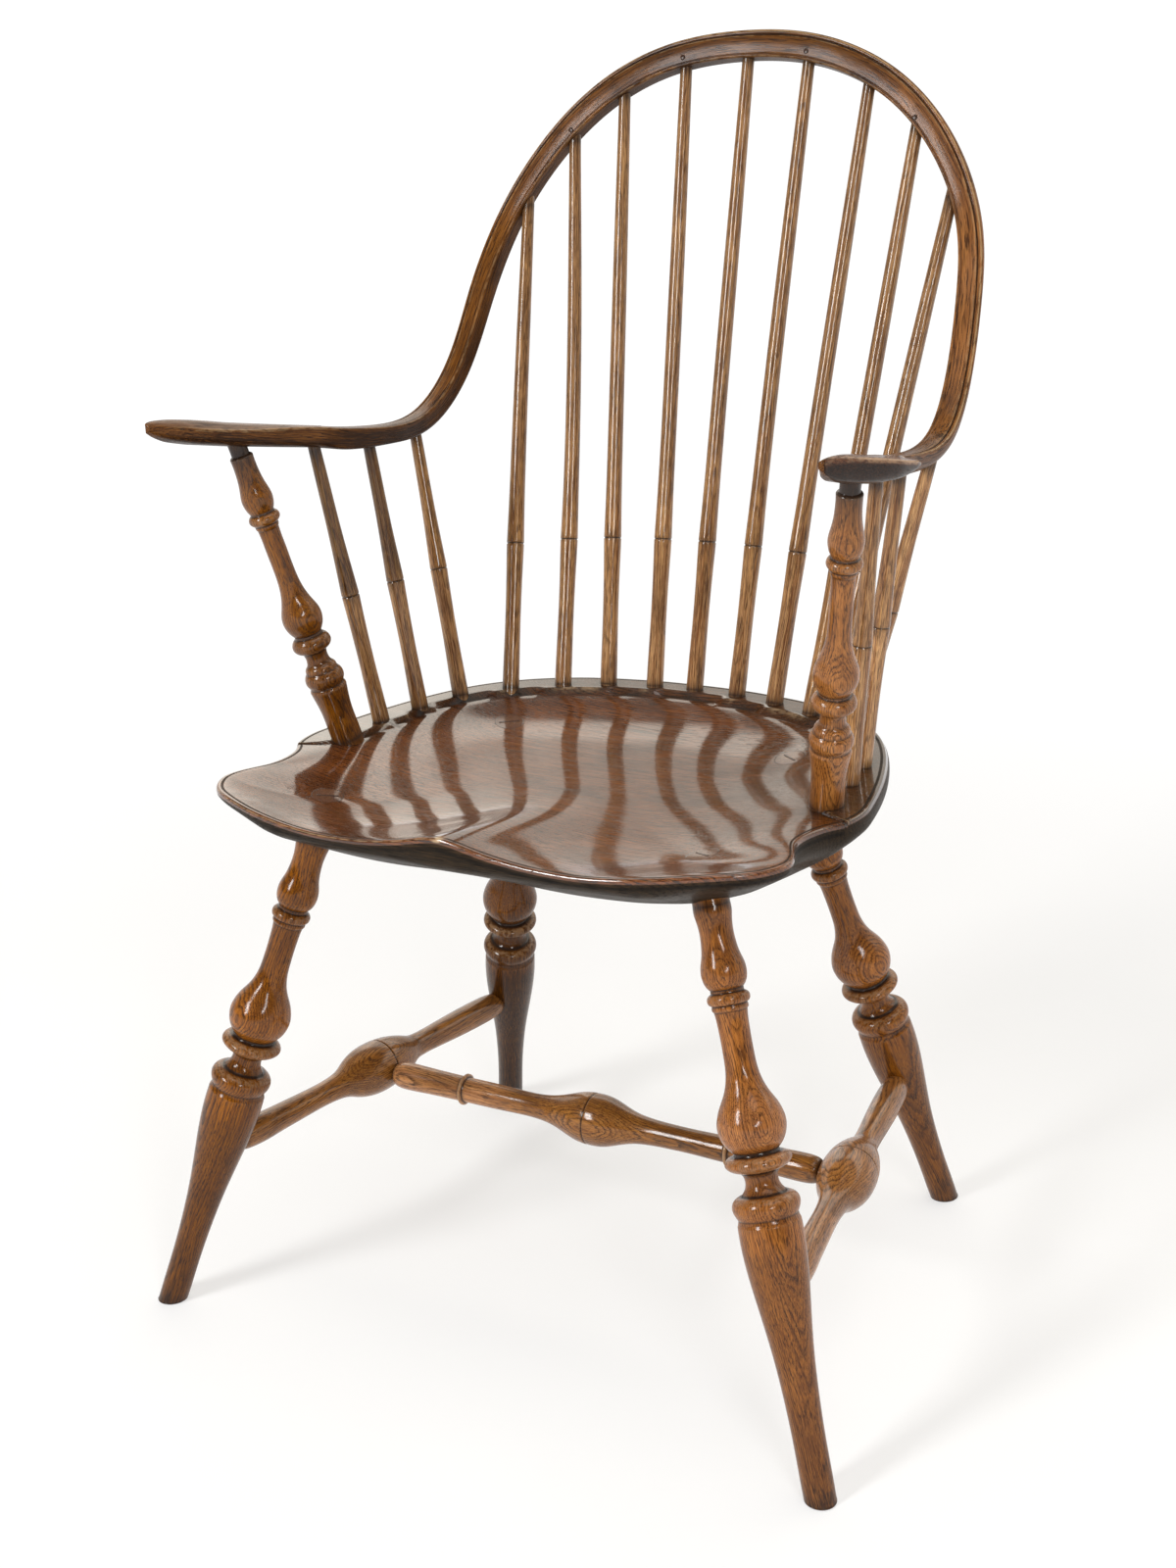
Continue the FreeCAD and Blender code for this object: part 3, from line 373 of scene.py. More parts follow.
    # wear on the edges, broken up; on the seat this also carries painted highlights
    patch = g.noise(g.vec("MULTIPLY", wc, (0.35, 0.35, 0.12)), 1.0, 4.0, 0.6, 0.4)
    wmask = g.math("MULTIPLY", wear, g.step(g.math("MULTIPLY_ADD", wear, 0.25, patch), 0.45, 0.68))
    base = g.mix(wmask, base, lin(worn))
    # grime in the quirks, plus painted shade where the masks carry it: contact shadows at the spindles' tops and the
    # line below the seat's lip
    gn = g.noise(g.vec("MULTIPLY", wc, (0.5, 0.5, 0.3)), 1.0, 3.0, 0.6, 0.0)
    dmask = g.math("MULTIPLY", dirt, g.step(gn, 0.15, 0.6, 0.72, 1.0), clamp=True)
    base = g.mix(dmask, base, lin(grime))

    ro = g.math("MULTIPLY_ADD", g.math("SUBTRACT", blot, 0.5), 0.25, rough)
    ro = g.math("ADD", ro, g.math("MULTIPLY", pore, 0.18))
    ro = g.math("ADD", ro, g.math("MULTIPLY", dmask, 0.2), clamp=True)

    h = g.math("MULTIPLY", pore, -0.8)
    h = g.math("MULTIPLY_ADD", pore2, -0.25, h)
    h = g.math("MULTIPLY_ADD", ringv, -0.25, h)
    h = g.math("MULTIPLY_ADD", fib, 0.35, h)
    nb = g.bump(h, 0.00022 * bump, 0.6)
    # the varnish itself: a slow ripple and the print of the open grain
    rip = g.noise(g.vec("MULTIPLY", wc, (wave_size * 2.2, wave_size * 2.2, wave_size)), 1.0, 2.0, 0.5, 0.0)
    hc = g.math("MULTIPLY_ADD", rip, 6.0, g.math("MULTIPLY", pore, -0.7 * coat_grain))
    hc = g.math("MULTIPLY_ADD", fib, 0.3 * coat_grain, hc)
    hc = g.math("MULTIPLY_ADD", long_, 0.8 * coat_grain, hc)
    cb = g.bump(hc, 0.0001, coat_wave * 4.0)

    b = g.new("ShaderNodeBsdfPrincipled")
    g.put(b.inputs["Base Color"], base)
    g.put(b.inputs["Roughness"], ro)
    g.put(b.inputs["Normal"], nb)
    b.inputs["IOR"].default_value = ior
    b.inputs["Specular IOR Level"].default_value = spec
    b.inputs["Coat Weight"].default_value = coat
    b.inputs["Coat Roughness"].default_value = coat_rough
    b.inputs["Coat IOR"].default_value = ior
    g.put(b.inputs["Coat Normal"], cb)
    out = g.new("ShaderNodeOutputMaterial")
    g.nt.links.new(b.outputs[0], out.inputs[0])
    return g.mat


M_SEAT = wood("seat_varnish", (60, 29, 13), (98, 51, 23), (136, 78, 36), (34, 18, 9), ring=2.6, ring_amt=0.8, pores=0.7,
              pore_len=0.03, pore_size=1.0, grime=(16, 12, 9), worn=(196, 166, 128), rough=0.34, coat=1.0, coat_rough=0.06,
              ior=1.62, spec=0.02, bump=0.6, haze_shade_and_sheen=(50, 45, 34), streak=0.65, coat_wave=0.03, wave_size=0.02, fibre=0.5, coat_grain=2.8)
M_WALL = wood("seat_edge_varnish", (30, 20, 12), (48, 33, 19), (74, 52, 31), (20, 14, 9), ring=2.6, ring_amt=0.6, pores=0.6,
              pore_len=0.04, pore_size=1.0, grime=(14, 11, 8), worn=(186, 150, 108), rough=0.5, coat=0.08, coat_rough=0.14,
              spec=0.08, bump=0.8, haze_shade_and_sheen=(38, 32, 22), streak=0.65, fibre=0.55)
# old wax and dust in the scribed gutter, nearly matt
M_GROOVE = wood("gutter_grime", (34, 21, 13), (50, 31, 19), (72, 47, 29), (20, 13, 9), ring=2.6, ring_amt=0.6, pores=0.5,
                pore_len=0.04, pore_size=1.0, grime=(14, 11, 8), worn=(170, 134, 96), rough=0.6, coat=0.1, coat_rough=0.3,
                spec=0.08, bump=0.8, haze_shade_and_sheen=(44, 38, 28), streak=0.65, fibre=0.5)
# the bow, hands and legs get a dark second colour that is painted shade, the posts a darker one for their tops, and the
# spindles a greyer one that is a painted sheen
M_BOW = wood("bow_varnish", (78, 44, 20), (122, 74, 34), (158, 104, 54), (46, 26, 14), ring=1.9, ring_amt=0.6, pores=0.8,
             pore_len=0.06, pore_size=1.3, worn=(182, 148, 106), rough=0.42, coat=0.18, coat_rough=0.16, spec=0.08, streak=0.6,
             haze_shade_and_sheen=(28, 18, 12), fibre=0.5)
M_HAND = wood("hand_varnish", (58, 30, 17), (94, 52, 28), (124, 76, 44), (32, 19, 12), ring=2.0, ring_amt=0.5, pores=0.7,
              pore_len=0.06, pore_size=1.3, worn=(188, 152, 118), rough=0.4, coat=0.25, coat_rough=0.1, spec=0.1, streak=0.6,
              haze_shade_and_sheen=(16, 11, 8))
M_POST = wood("post_varnish", (94, 50, 20), (152, 92, 38), (184, 120, 58), (52, 29, 13), ring=1.9, ring_amt=0.68, pores=0.74,
              pore_len=0.13, pore_size=1.7, rough=0.4, coat=0.6, coat_rough=0.12, spec=0.12, haze_shade_and_sheen=(62, 38, 20), fibre=0.4)
M_SPIN = wood("spindle_varnish", (84, 48, 23), (144, 92, 48), (202, 154, 100), (50, 30, 17), ring=1.5, ring_amt=0.5, pores=0.6,
              pore_len=0.09, pore_size=1.7, rough=0.38, coat=0.75, coat_rough=0.1, spec=0.1, haze_shade_and_sheen=(122, 90, 62), fibre=0.65)
M_LEG = wood("leg_varnish", (86, 45, 15), (144, 83, 28), (176, 109, 42), (46, 24, 9), ring=1.9, ring_amt=0.7, pores=0.75,
             pore_len=0.13, pore_size=1.7, rough=0.42, coat=0.6, coat_rough=0.13, ior=1.46, spec=0.08, haze_shade_and_sheen=(40, 22, 8), fibre=0.45)
M_STR = wood("stretcher_varnish", (86, 48, 20), (146, 90, 40), (184, 124, 62), (50, 29, 14), ring=1.8, ring_amt=0.68, pores=0.72,
             pore_len=0.11, pore_size=1.7, rough=0.4, coat=0.65, coat_rough=0.12, spec=0.12, haze_shade_and_sheen=(50, 30, 15), fibre=0.4)
M_TENON = wood("tenon_end", (60, 30, 15), (92, 49, 24), (120, 70, 36), (34, 19, 11), ring=1.6, ring_amt=0.6, pores=0.6,
               rough=0.34, coat=1.0, coat_rough=0.07, haze_shade_and_sheen=(54, 33, 20))
M_WEDGE = wood("wedge_end", (50, 29, 18), (74, 43, 26), (98, 62, 38), (32, 18, 12), rough=0.36, coat=0.9, coat_rough=0.08)
M_PEG = wood("peg_end", (40, 24, 15), (58, 35, 22), (80, 51, 32), (24, 15, 10), rough=0.45, coat=0.3, coat_rough=0.15)


# ---------------------------------------------------------------- tables
OUT = [(0, 217), (40, 215.6), (75, 210.5), (107, 203), (131, 193), (151, 180.5), (170, 164), (187, 144),
       (201, 121), (212, 97), (221, 72), (229, 45), (236, 15), (241, -12), (243, -30), (241.5, -40),
       (236, -50), (230, -65), (227, -84), (229, -101), (234, -113), (238.5, -124), (240.5, -136),
       (236, -150), (226, -163), (208, -175), (184, -185), (157, -191.5), (125, -195.5), (95, -197.5),
       (65, -198.5), (38, -199.5), (16, -201), (0, -201.5)]
# the same points on the flat underside
BOT = [(0, 180), (33.6, 179), (63, 175), (90, 169), (110, 161), (127, 151), (143, 138), (157.5, 121),
       (169, 102), (178, 82), (186, 60), (193, 38), (200, 12), (203, -12), (204, -27), (203.5, -36),
       (202, -45), (200, -56), (197, -68), (194, -80), (191.5, -88), (188, -96), (183.5, -103),
       (178, -111), (171, -119), (161, -127), (148, -133.5), (130, -139.5), (107, -143.5), (82, -145.5),
       (56, -144.5), (33, -142), (14, -141), (0, -140.5)]
RINGS = [(0.0, 1, 1, 1, 0), (0.03, 0.94, 0.9, 0.96, 0), (0.09, 0.83, 0.77, 0.9, 0), (0.205, 0.655, 0.57, 0.78, 0),
         (0.32, 0.474, 0.38, 0.62, 0.5), (0.43, 0.302, 0.23, 0.47, 1.5), (0.545, 0.138, 0.1, 0.34, 3.5),
         (0.64, 0.05, 0.03, 0.22, 5.2), (0.73, 0.014, 0, 0.12, 6.2), (0.84, 0, 0, 0.04, 6.5), (0.95, 0, 0, 0, 6),
         (1.02, 0.005, 0.005, 0.005, 4.6), (1.35, 0.025, 0.025, 0.025, 3)]
GUT = [(0, 191), (30, 188.8), (55, 183.5), (80, 177), (104, 169), (131, 157), (155, 142), (175, 121),
       (187, 98), (194, 70), (198.5, 35), (203, 4), (207.5, -14), (219, -28), (232, -36.5), (262, -47)]
LIP = [(0, 1.0), (12, 0.88), (30, 0.55), (50, 0.28), (75, 0.08), (105, 0.0)]
# (distance from the foot, radius)
LEG = [
    [(0, 10.4), (1.6, 11.4)],
    [(1.6, 11.4), (10, 11.6), (30, 11.6), (50, 11.8), (80, 13.0), (100, 14.4), (120, 16.5), (140, 19.0), (160, 21.4),
     (175, 22.6), (188, 22.9), (196, 22.7)],
    [(196, 22.7), (198.4, 21.8)],
    [(198.4, 21.8), (200.6, 21.4)],
    [(200.6, 21.4), (202.6, 22.4), (206, 23.8), (209.5, 24.2), (213, 22.9), (215.4, 20.0), (216.6, 16.8)],
    [(216.6, 16.8), (217.4, 15.6)],
    [(217.4, 15.6), (219.5, 13.9), (223, 12.2), (227, 11.8), (230.5, 12.6), (233, 14.6)],
    [(233, 14.6), (234.2, 18.6), (236.2, 22.0), (239.4, 24.0), (242.4, 22.8), (244.4, 19.4), (245.2, 16.6)],
    [(245.2, 16.6), (247, 16.2)],
    [(247, 16.2), (249.5, 18.6), (254.5, 22.0), (260, 23.9), (266, 24.5), (272, 23.4), (278, 21.2), (284, 18.0), (290, 15.0),
     (296, 13.0), (304, 11.5), (314, 11.0), (324, 10.9), (334, 11.1), (342, 11.5), (346, 12.0)],
    [(346, 12.0), (346.6, 12.8), (348.6, 13.1), (350.4, 12.7)],
    [(350.4, 12.7), (351.4, 14.3), (353.6, 15.3), (356, 15.1), (358, 13.6), (359, 11.9)],
    [(359, 11.9), (361.4, 11.9)],
    [(361.4, 11.9), (364, 14.0), (368, 15.6), (373.5, 16.2), (379, 15.5), (385, 13.8), (391, 12.7), (398, 12.1), (404, 12.1),
     (410, 12.7), (416, 13.5), (424, 13.4)],
    [(424, 13.4), (470, 12.4)],
]
REAR_SHIFT = 10.2
SLEN = float(np.linalg.norm(P(249.8, -176.9, 133.0) - P(196.5, 186.3, 126.7)))
SIDE = [
    [(6, 7.5), (19, 7.5)],
    [(19, 7.5), (20.5, 9.2), (24, 10.6), (30, 11.4), (40, 11.9), (50, 11.8), (60, 11.3), (75, 10.8), (100, 10.1), (115, 9.9),
     (127, 10.3), (138, 11.5), (146, 13.6), (153, 16.6), (161, 19.6), (171, 21.8), (181, 22.5), (189, 22.3)],
    [(189, 22.3), (190, 21.2)],
    [(190, 21.2), (191, 22.0)],
    [(191, 22.0), (199, 21.2), (208, 19.2), (217, 16.4), (224, 13.6), (230, 11.5), (237, 10.6), (250, 10.4), (266, 10.9),
     (285, 11.5), (305, 11.9), (325, 11.8), (336, 11.3), (343, 10.4), (347.5, 9.0), (349, 7.5)],
    [(349, 7.5), (SLEN - 6, 7.5)],
]
MED = [
    [(10, 6.5), (22.6, 6.5)],
    [(22.6, 6.5), (23.6, 8.6), (26.5, 10.4), (31, 11.4), (38, 11.7), (55, 11.3), (75, 10.9), (92, 10.7)],
    [(92, 10.7), (92.6, 12.4), (94, 13.6), (95.4, 12.4), (96, 10.7)],
    [(96, 10.7), (120, 10.6), (145, 10.2), (160, 10.1), (170, 10.6), (180, 12.0), (190, 14.6), (199, 17.7), (208, 20.4), (213, 21.3), (217.6, 21.7)],
    [(217.6, 21.7), (219, 20.6)],
    [(219, 20.6), (220.4, 21.7)],
    [(220.4, 21.7), (226, 21.6), (233, 20.7), (241, 18.4), (249, 15.6), (258, 13.0), (268, 11.4), (280, 10.5), (295, 10.1), (312, 10.0),
     (330, 10.4), (343, 10.6)],
    [(343, 10.6), (343.6, 12.4), (345, 13.6), (346.4, 12.4), (347, 10.6)],
    [(347, 10.6), (370, 11.0), (392, 11.3), (408, 11.6), (415, 11.3), (419.6, 10.4), (422.6, 8.6), (423.6, 6.5)],
    [(423.6, 6.5), (436.2, 6.5)],
]
POST = [
    [(-22, 11.6), (-1, 12.6)],
    [(-1, 12.6), (12, 12.6), (24, 12.6), (32, 13.2), (40, 14.3), (46, 15.2)],
    [(46, 15.2), (47.6, 14.8), (48.6, 14.2)],
    [(48.6, 14.2), (50, 14.4), (52.5, 15.6), (55.5, 16.1), (59, 15.4), (61, 14.3)],
    [(61, 14.3), (62, 13.4), (64.6, 13.0), (66.6, 12.0)],
    [(66.6, 12.0), (68.6, 10.2), (72, 9.2), (76, 9.2), (79.4, 10.2)],
    [(79.4, 10.2), (80.6, 12.8), (82.6, 15.0), (85.5, 16.1), (88.6, 15.6), (91.4, 13.8), (93, 11.6)],
    [(93, 11.6), (95, 11.4)],
    [(95, 11.4), (98, 13.4), (102, 15.2), (107, 16.2), (111, 16.1), (115, 15.2), (120, 13.3), (125, 11.5), (131, 9.9), (138, 8.8),
     (146, 8.3), (158, 8.2), (170, 8.3), (180, 8.3), (186, 8.6)],
    [(186, 8.6), (187.4, 9.4), (190, 9.6)],
    [(190, 9.6), (191.4, 11.2), (193.6, 12.6), (195.8, 12.5), (198, 11.2), (199, 9.8)],
    [(199, 9.8), (200.4, 9.8)],
    [(200.4, 9.8), (203, 11.0), (207, 12.1), (211, 12.5), (215.5, 12.0), (221, 10.8), (228, 9.7), (235, 9.2), (241, 9.1), (245.6, 9.3)],
    [(245.6, 9.3), (246.6, 8.6), (247.4, 7.2)],
    [(247.4, 7.2), (266, 7.2)],
]
KR = [(0, 321.2, 964.8), (63.8, 317.3, 958.9), (130.3, 310.6, 931.0), (183.7, 295.2, 878.4), (210.9, 275.9, 823.7),
      (223.2, 244.4, 771.2), (228.6, 207.5, 713.6), (231.6, 162.4, 680.1), (231.5, 91.7, 676.4), (242.6, -6.8, 692.0),
      (259.6, -112.4, 709.0)]
KL = [(0, 321.2, 964.8), (64.8, 317.3, 957.8), (129.5, 310.6, 930.4), (184.1, 295.2, 879.0), (217.2, 275.9, 823.1),
      (226.4, 244.4, 771.5), (231.0, 207.5, 713.6), (233.3, 162.4, 681.5), (232.1, 91.7, 677.4), (242.6, -6.8, 692.0),
      (259.6, -112.4, 709.0)]
GLUE = [(40, 247.6), (12, 251.0), (-6.4, 253.4), (-60, 261.6), (-95, 266.6), (-115, 269.2), (-130, 270.8), (-140, 271.3), (-149, 270.8)]
INNER = [(40, 228.2), (12, 230.6), (-6.4, 233.0), (-40, 238.0), (-75, 242.6), (-92, 245.5), (-102, 248.8), (-112, 253.0), (-122, 257.4),
         (-132, 261.8), (-140, 265.2), (-147, 267.4)]
OUTER = [(60, 246.5), (45, 250.0), (32, 255.0), (18, 262.0), (5, 270.0), (-8, 278.0), (-20, 285.0), (-35, 292.0), (-50, 295.0), (-70, 294.4),
         (-85, 291.6), (-99, 287.4), (-113, 283.0), (-126, 278.6), (-138, 274.4), (-146, 271.6)]
ZTOP = [(40, 684.8), (12, 689.8), (-6.4, 693.0), (-60, 702.6), (-99, 710.4), (-126, 714.4), (-141, 715.4), (-149, 714.8)]
E_IN = [(40, 17.3), (0, 17.4), (-60, 17.8), (-90, 18.0), (-105, 17.6), (-118, 16.0), (-128, 14.0), (-136, 11.6), (-142, 9.0), (-147, 6.0)]
# how much lower the inner edge lies than the top of the swell
DROP = [(40, 0.0), (-6, 1.0), (-40, 3.0), (-70, 5.0), (-100, 6.0), (-120, 5.4), (-135, 3.6), (-147, 1.6)]
E_GL = [(40, 17.3), (0, 17.8), (-50, 18.4), (-90, 19.2), (-105, 19.0), (-118, 18.0), (-128, 16.4), (-136, 13.8), (-142, 11.0), (-149, 6.0)]
E_BK = [(36, 3.4), (20, 5.0), (0, 8.0), (-20, 12.0), (-40, 16.0), (-60, 18.4), (-90, 19.2), (-105, 19.0), (-118, 18.0), (-128, 16.4),
        (-136, 13.8), (-142, 11.0), (-149, 6.0)]
E_OUT = [(36, 2.2), (0, 2.4), (-20, 2.6), (-35, 3.2), (-45, 4.6), (-60, 8.0), (-80, 11.6), (-100, 13.2), (-120, 12.6), (-135, 9.6), (-146, 4.6)]
WORLD = 1.08
SIDE_LOW = 0.24


# ---------------------------------------------------------------- the seat's surfaces
def deck_z(y):
    return 440.0 + 0.02 * y


GUT_FINE = curve([(-x, y) for x, y in GUT[:0:-1]] + list(GUT), step=1.0)
OUT_FINE = curve(OUT[15:], step=1.5)
LIP_F = smooth_tab([(-12, 0.88)] + LIP + [(130, 0.0)])


def nearest(pts, line):
    """distance from points to a fine polyline, and which side of it"""
    a, b = line[:-1], line[1:]
    u = b - a
    uu = (u ** 2).sum(1)
    best = np.full(len(pts), 1e9)
    side = np.zeros(len(pts))
    for k in range(0, len(pts), 4000):
        p = pts[k:k + 4000]
        d = p[:, None, :] - a[None]
        t = np.clip((d * u[None]).sum(2) / uu, 0, 1)
        e = d - t[..., None] * u[None]
        dd = np.sqrt((e ** 2).sum(2))
        j = dd.argmin(1)
        i = np.arange(len(p))
        best[k:k + 4000] = dd[i, j]
        side[k:k + 4000] = np.sign(u[j, 0] * d[i, j, 1] - u[j, 1] * d[i, j, 0])
    return best, side


def gutter_s(x, y):
    """signed distance to the gutter line, positive on the saddle side"""
    pts = np.stack([x, y], -1).reshape(-1, 2)
    d, s = nearest(pts, GUT_FINE)
    # the line runs from the left round the back to the right, so the saddle is on its right
    return (d * np.where(s > 0, -1, 1)).reshape(np.shape(x))


def lip_level(x):
    x = np.abs(x)
    low = 433.0 + 14.0 * LIP_F(np.minimum(x, 129.0))
    return np.where(x < 105, low, 433.0 + 8.8 * smooth(105, 225, x))


def saddle_raw(x, y):
    s = gutter_s(x, y)
    pts = np.stack([np.abs(x), y], -1).reshape(-1, 2)
    f, _ = nearest(pts, OUT_FINE)
    f = f.reshape(np.shape(x))
    outside = (y < -201 + 40 * smooth(60, 235, np.abs(x))) | ((np.abs(x) > 236) & (y < -38))
    f = np.where(outside, 0.0, f)
    ax = np.abs(x)
    wf = smooth(-5, -165, -(-y)) + (smooth(-5, -118, y) - smooth(-5, -165, y)) * smooth(150, 225, ax)
    base = 437.8 + 0.01 * y
    z = base + (lip_level(x) - base) * wf
    s = np.maximum(s, 0.0)
    return z - 19.0 * (1 - np.exp(-(s / 40.0) ** 1.35)) * (1 - np.exp(-(f / 78.0) ** 1.25))


# the surface is held as a smooth bicubic sheet, so that its gloss has no kinks
GX0, GY0, GD = -290.0, -260.0, 5.0
gx = GX0 + GD * np.arange(117)
gy = GY0 + GD * np.arange(101)
sheet = saddle_raw(*np.meshgrid(gx, gy, indexing="ij"))
for _ in range(2):
    for ax_ in (0, 1):
        p = np.pad(sheet, [(1, 1) if k == ax_ else (0, 0) for k in (0, 1)], mode="edge")
        sheet = (np.take(p, range(0, p.shape[ax_] - 2), ax_) + 2 * np.take(p, range(1, p.shape[ax_] - 1), ax_) +
                 np.take(p, range(2, p.shape[ax_]), ax_)) / 4.0


def bspline_w(u):
    return [(1 - u) ** 3 / 6, (3 * u ** 3 - 6 * u ** 2 + 4) / 6, (-3 * u ** 3 + 3 * u ** 2 + 3 * u + 1) / 6, u ** 3 / 6]


def saddle_z(x, y):
    a, b = (np.asarray(x, float) - GX0) / GD, (np.asarray(y, float) - GY0) / GD
    i, j = np.clip(np.floor(a).astype(int), 1, 113), np.clip(np.floor(b).astype(int), 1, 97)
    wa, wb = bspline_w(a - i), bspline_w(b - j)
    z = 0.0
    for p in range(4):
        for q in range(4):
            z = z + wa[p] * wb[q] * sheet[i + p - 1, j + q - 1]
    return z


def top_z(x, y, s):
    """the upper side of the seat: deck, gutter and saddle"""
    deck, sad = deck_z(y), saddle_z(x, y)
    low = np.minimum(deck, sad) - 0.9
    out = deck + (low - deck) * smooth(-1.3, -0.1, s)
    inn = sad + (low - sad) * (1 - smooth(0.1, 1.5, s))
    return np.where(s <= 0, out, inn)


QR = [smooth_tab([(q[0], q[k]) for q in RINGS]) for k in (1, 2, 3, 4)]


def periodic(pts, n):
    pts = np.asarray(pts, float)
    m = len(pts)
    ext = np.vstack([pts[-8:], pts, pts[:8]])
    t = chord(ext)
    f = spline(t, ext)
    t0, t1 = t[8], t[8 + m]
    return f(t0 + (t1 - t0) * n)


def build_seat():
    full = np.array(OUT + [(-x, y) for x, y in OUT[-2:0:-1]], float)
    fbot = np.array(BOT + [(-x, y) for x, y in BOT[-2:0:-1]], float)
    m0 = 2400
    # one parameter for both outlines, with more columns near the horns and the gutter's end
    u = np.linspace(0, 1, m0, endpoint=False)
    o = periodic(np.hstack([full, fbot]), u)
    dens = 1.0 + 2.0 * np.exp(-((np.abs(o[:, 1] + 55) / 40.0) ** 2)) * (np.abs(o[:, 0]) > 150)
    dens += 1.2 * np.exp(-((o[:, 0] / 30.0) ** 2)) * (o[:, 1] < 0)
    c = np.concatenate([[0], np.cumsum(dens)])
    m = 960
    u = np.interp(np.linspace(0, c[-1], m, endpoint=False), c, np.linspace(0, 1, m0 + 1))
    o = periodic(np.hstack([full, fbot]), u)
    OX, OY, BX, BYY = o.T

    def edge(q):
        fa, fs, fh, bl = (f(np.clip(q, 0, 1.35)) for f in QR)
        w = smooth(-48, -128, OY)
        f = fs + (fa - fs) * w
        f = f + (fh - f) * smooth(150, 215, np.abs(OX)) * smooth(-85, -120, OY)
        nx, ny = OX / 235.0 ** 2, (OY - 8) / 213.0 ** 2
        k = np.hypot(nx, ny)
        d = bl * smooth(120, 195, np.abs(OX)) * smooth(-45, -5, OY)
        return OX + (BX - OX) * f + nx / k * d, OY + (BYY - OY) * f + ny / k * d

    s_e = gutter_s(OX, OY)
    zt = top_z(OX, OY, s_e)
    # the front lip is a little uneven after years of use
    q_top = (zt - 396.0) / 44.0
    EX, EY = edge(q_top)
    s_e = gutter_s(EX, EY)
    zt = top_z(EX, EY, s_e)
    Ro = np.hypot(EX, EY)
    dx, dy = EX / Ro, EY / Ro
    # where each ray meets the gutter
    ga = np.unwrap(np.arctan2(GUT_FINE[:, 1], GUT_FINE[:, 0]))
    gr = np.hypot(GUT_FINE[:, 0], GUT_FINE[:, 1])
    order = np.argsort(ga)
    th = np.arctan2(EY, EX)
    thw = np.where(th < -math.pi / 2, th + 2 * math.pi, th)
    Rg = np.interp(thw, ga[order], gr[order], left=1e4, right=1e4)
    front = (th < math.radians(-10)) & (th > math.radians(-170))
    Rg = np.where(front, 1e4, Rg)
    rad_e = np.where(front, 2.4, 1.5)
    Rg = np.minimum(Rg, Ro - rad_e - 1.2)
    marg = Ro - Rg - rad_e
    inner = np.array([0.1, 0.3, 0.6, 0.9, 1.2, 1.6, 2.1, 2.8, 3.8, 5.2, 7.0, 9.5, 12.5, 16.0])
    outer = np.array([0.1, 0.3, 0.6, 0.9, 1.2, 1.6, 2.2, 3.2])
    rows = []
    for k in np.linspace(0.02, 1.0, 46) ** 0.9:
        rows.append((Rg - 16.0) * k)
    for d in inner[::-1][1:]:
        rows.append(Rg - d)
    rows.append(Rg.copy())
    sc = np.minimum(1.0, marg / 7.0)
    for d in outer:
        rows.append(Rg + d * sc)
    last = Rg + outer[-1] * sc
    for k in np.linspace(0, 1, 9)[1:]:
        rows.append(last + (Ro - rad_e - last) * k)
    X, Y, Z, S = [], [], [], []
    for r in rows:
        x, y = dx * r, dy * r
        s = gutter_s(x, y)
        X.append(x), Y.append(y), Z.append(top_z(x, y, s)), S.append(s)
    # rounded edge
    for a in np.linspace(0, 90, 8)[1:]:
        a = math.radians(a)
        ins = rad_e * (1 - math.sin(a))
        drop = rad_e * (1 - math.cos(a))
        r = Ro - ins
        x, y = dx * r, dy * r
        s = gutter_s(x, y)
        X.append(x), Y.append(y), Z.append(top_z(x, y, s) - drop), S.append(s)
    n_top = len(X)
    z0 = zt - rad_e
    x_last, y_last, z_last = X[-1], Y[-1], Z[-1]
    wall = np.concatenate([np.linspace(0, 0.9, 26)[1:], [0.93, 0.955, 0.975, 0.99, 1.0]])
    for k in wall:
        z = z_last + (396.0 - z_last) * k
        x, y = edge((z - 396.0) / 44.0)
        w = smooth(0.0, 0.12, k)
        ex, ey = edge((z_last - 396.0) / 44.0)
        x, y = x + (x_last - ex) * (1 - w), y + (y_last - ey) * (1 - w)
        X.append(x), Y.append(y), Z.append(z), S.append(np.full(m, -99.0))
    bx, by = X[-1], Y[-1]
    for k in (0.985, 0.96, 0.9, 0.8, 0.65, 0.45, 0.25, 0.08):
        X.append(bx * k), Y.append(by * k), Z.append(np.full(m, 396.0)), S.append(np.full(m, -99.0))
    X, Y, Z, S = np.array(X), np.array(Y), np.array(Z), np.array(S)
    n = len(X)
    V = np.stack([X, Y + YO, Z], -1)
    W = np.stack([Y + 330.0, (Z - 430.0) + 130.0, X], -1)
    # masks
    row = np.arange(n)[:, None] * np.ones((1, m))
    top = row < n_top
    dirt = np.where(top, np.exp(-((S - 0.9) / 2.1) ** 2), 0.0)
    dirt = np.maximum(dirt, np.where(top & (S > 0), 0.7 * np.exp(-(S / 8.0)), 0.0))
    for bx_, by_, r_ in SEATED:
        d = np.hypot(X - bx_, Y - by_) - r_
        dirt = np.maximum(dirt, np.where(top & (d > -2), 0.9 * np.exp(-(np.maximum(d, 0) / 2.2)), 0.0))
    fr = np.asarray(front)[None, :] * np.ones((n, 1))
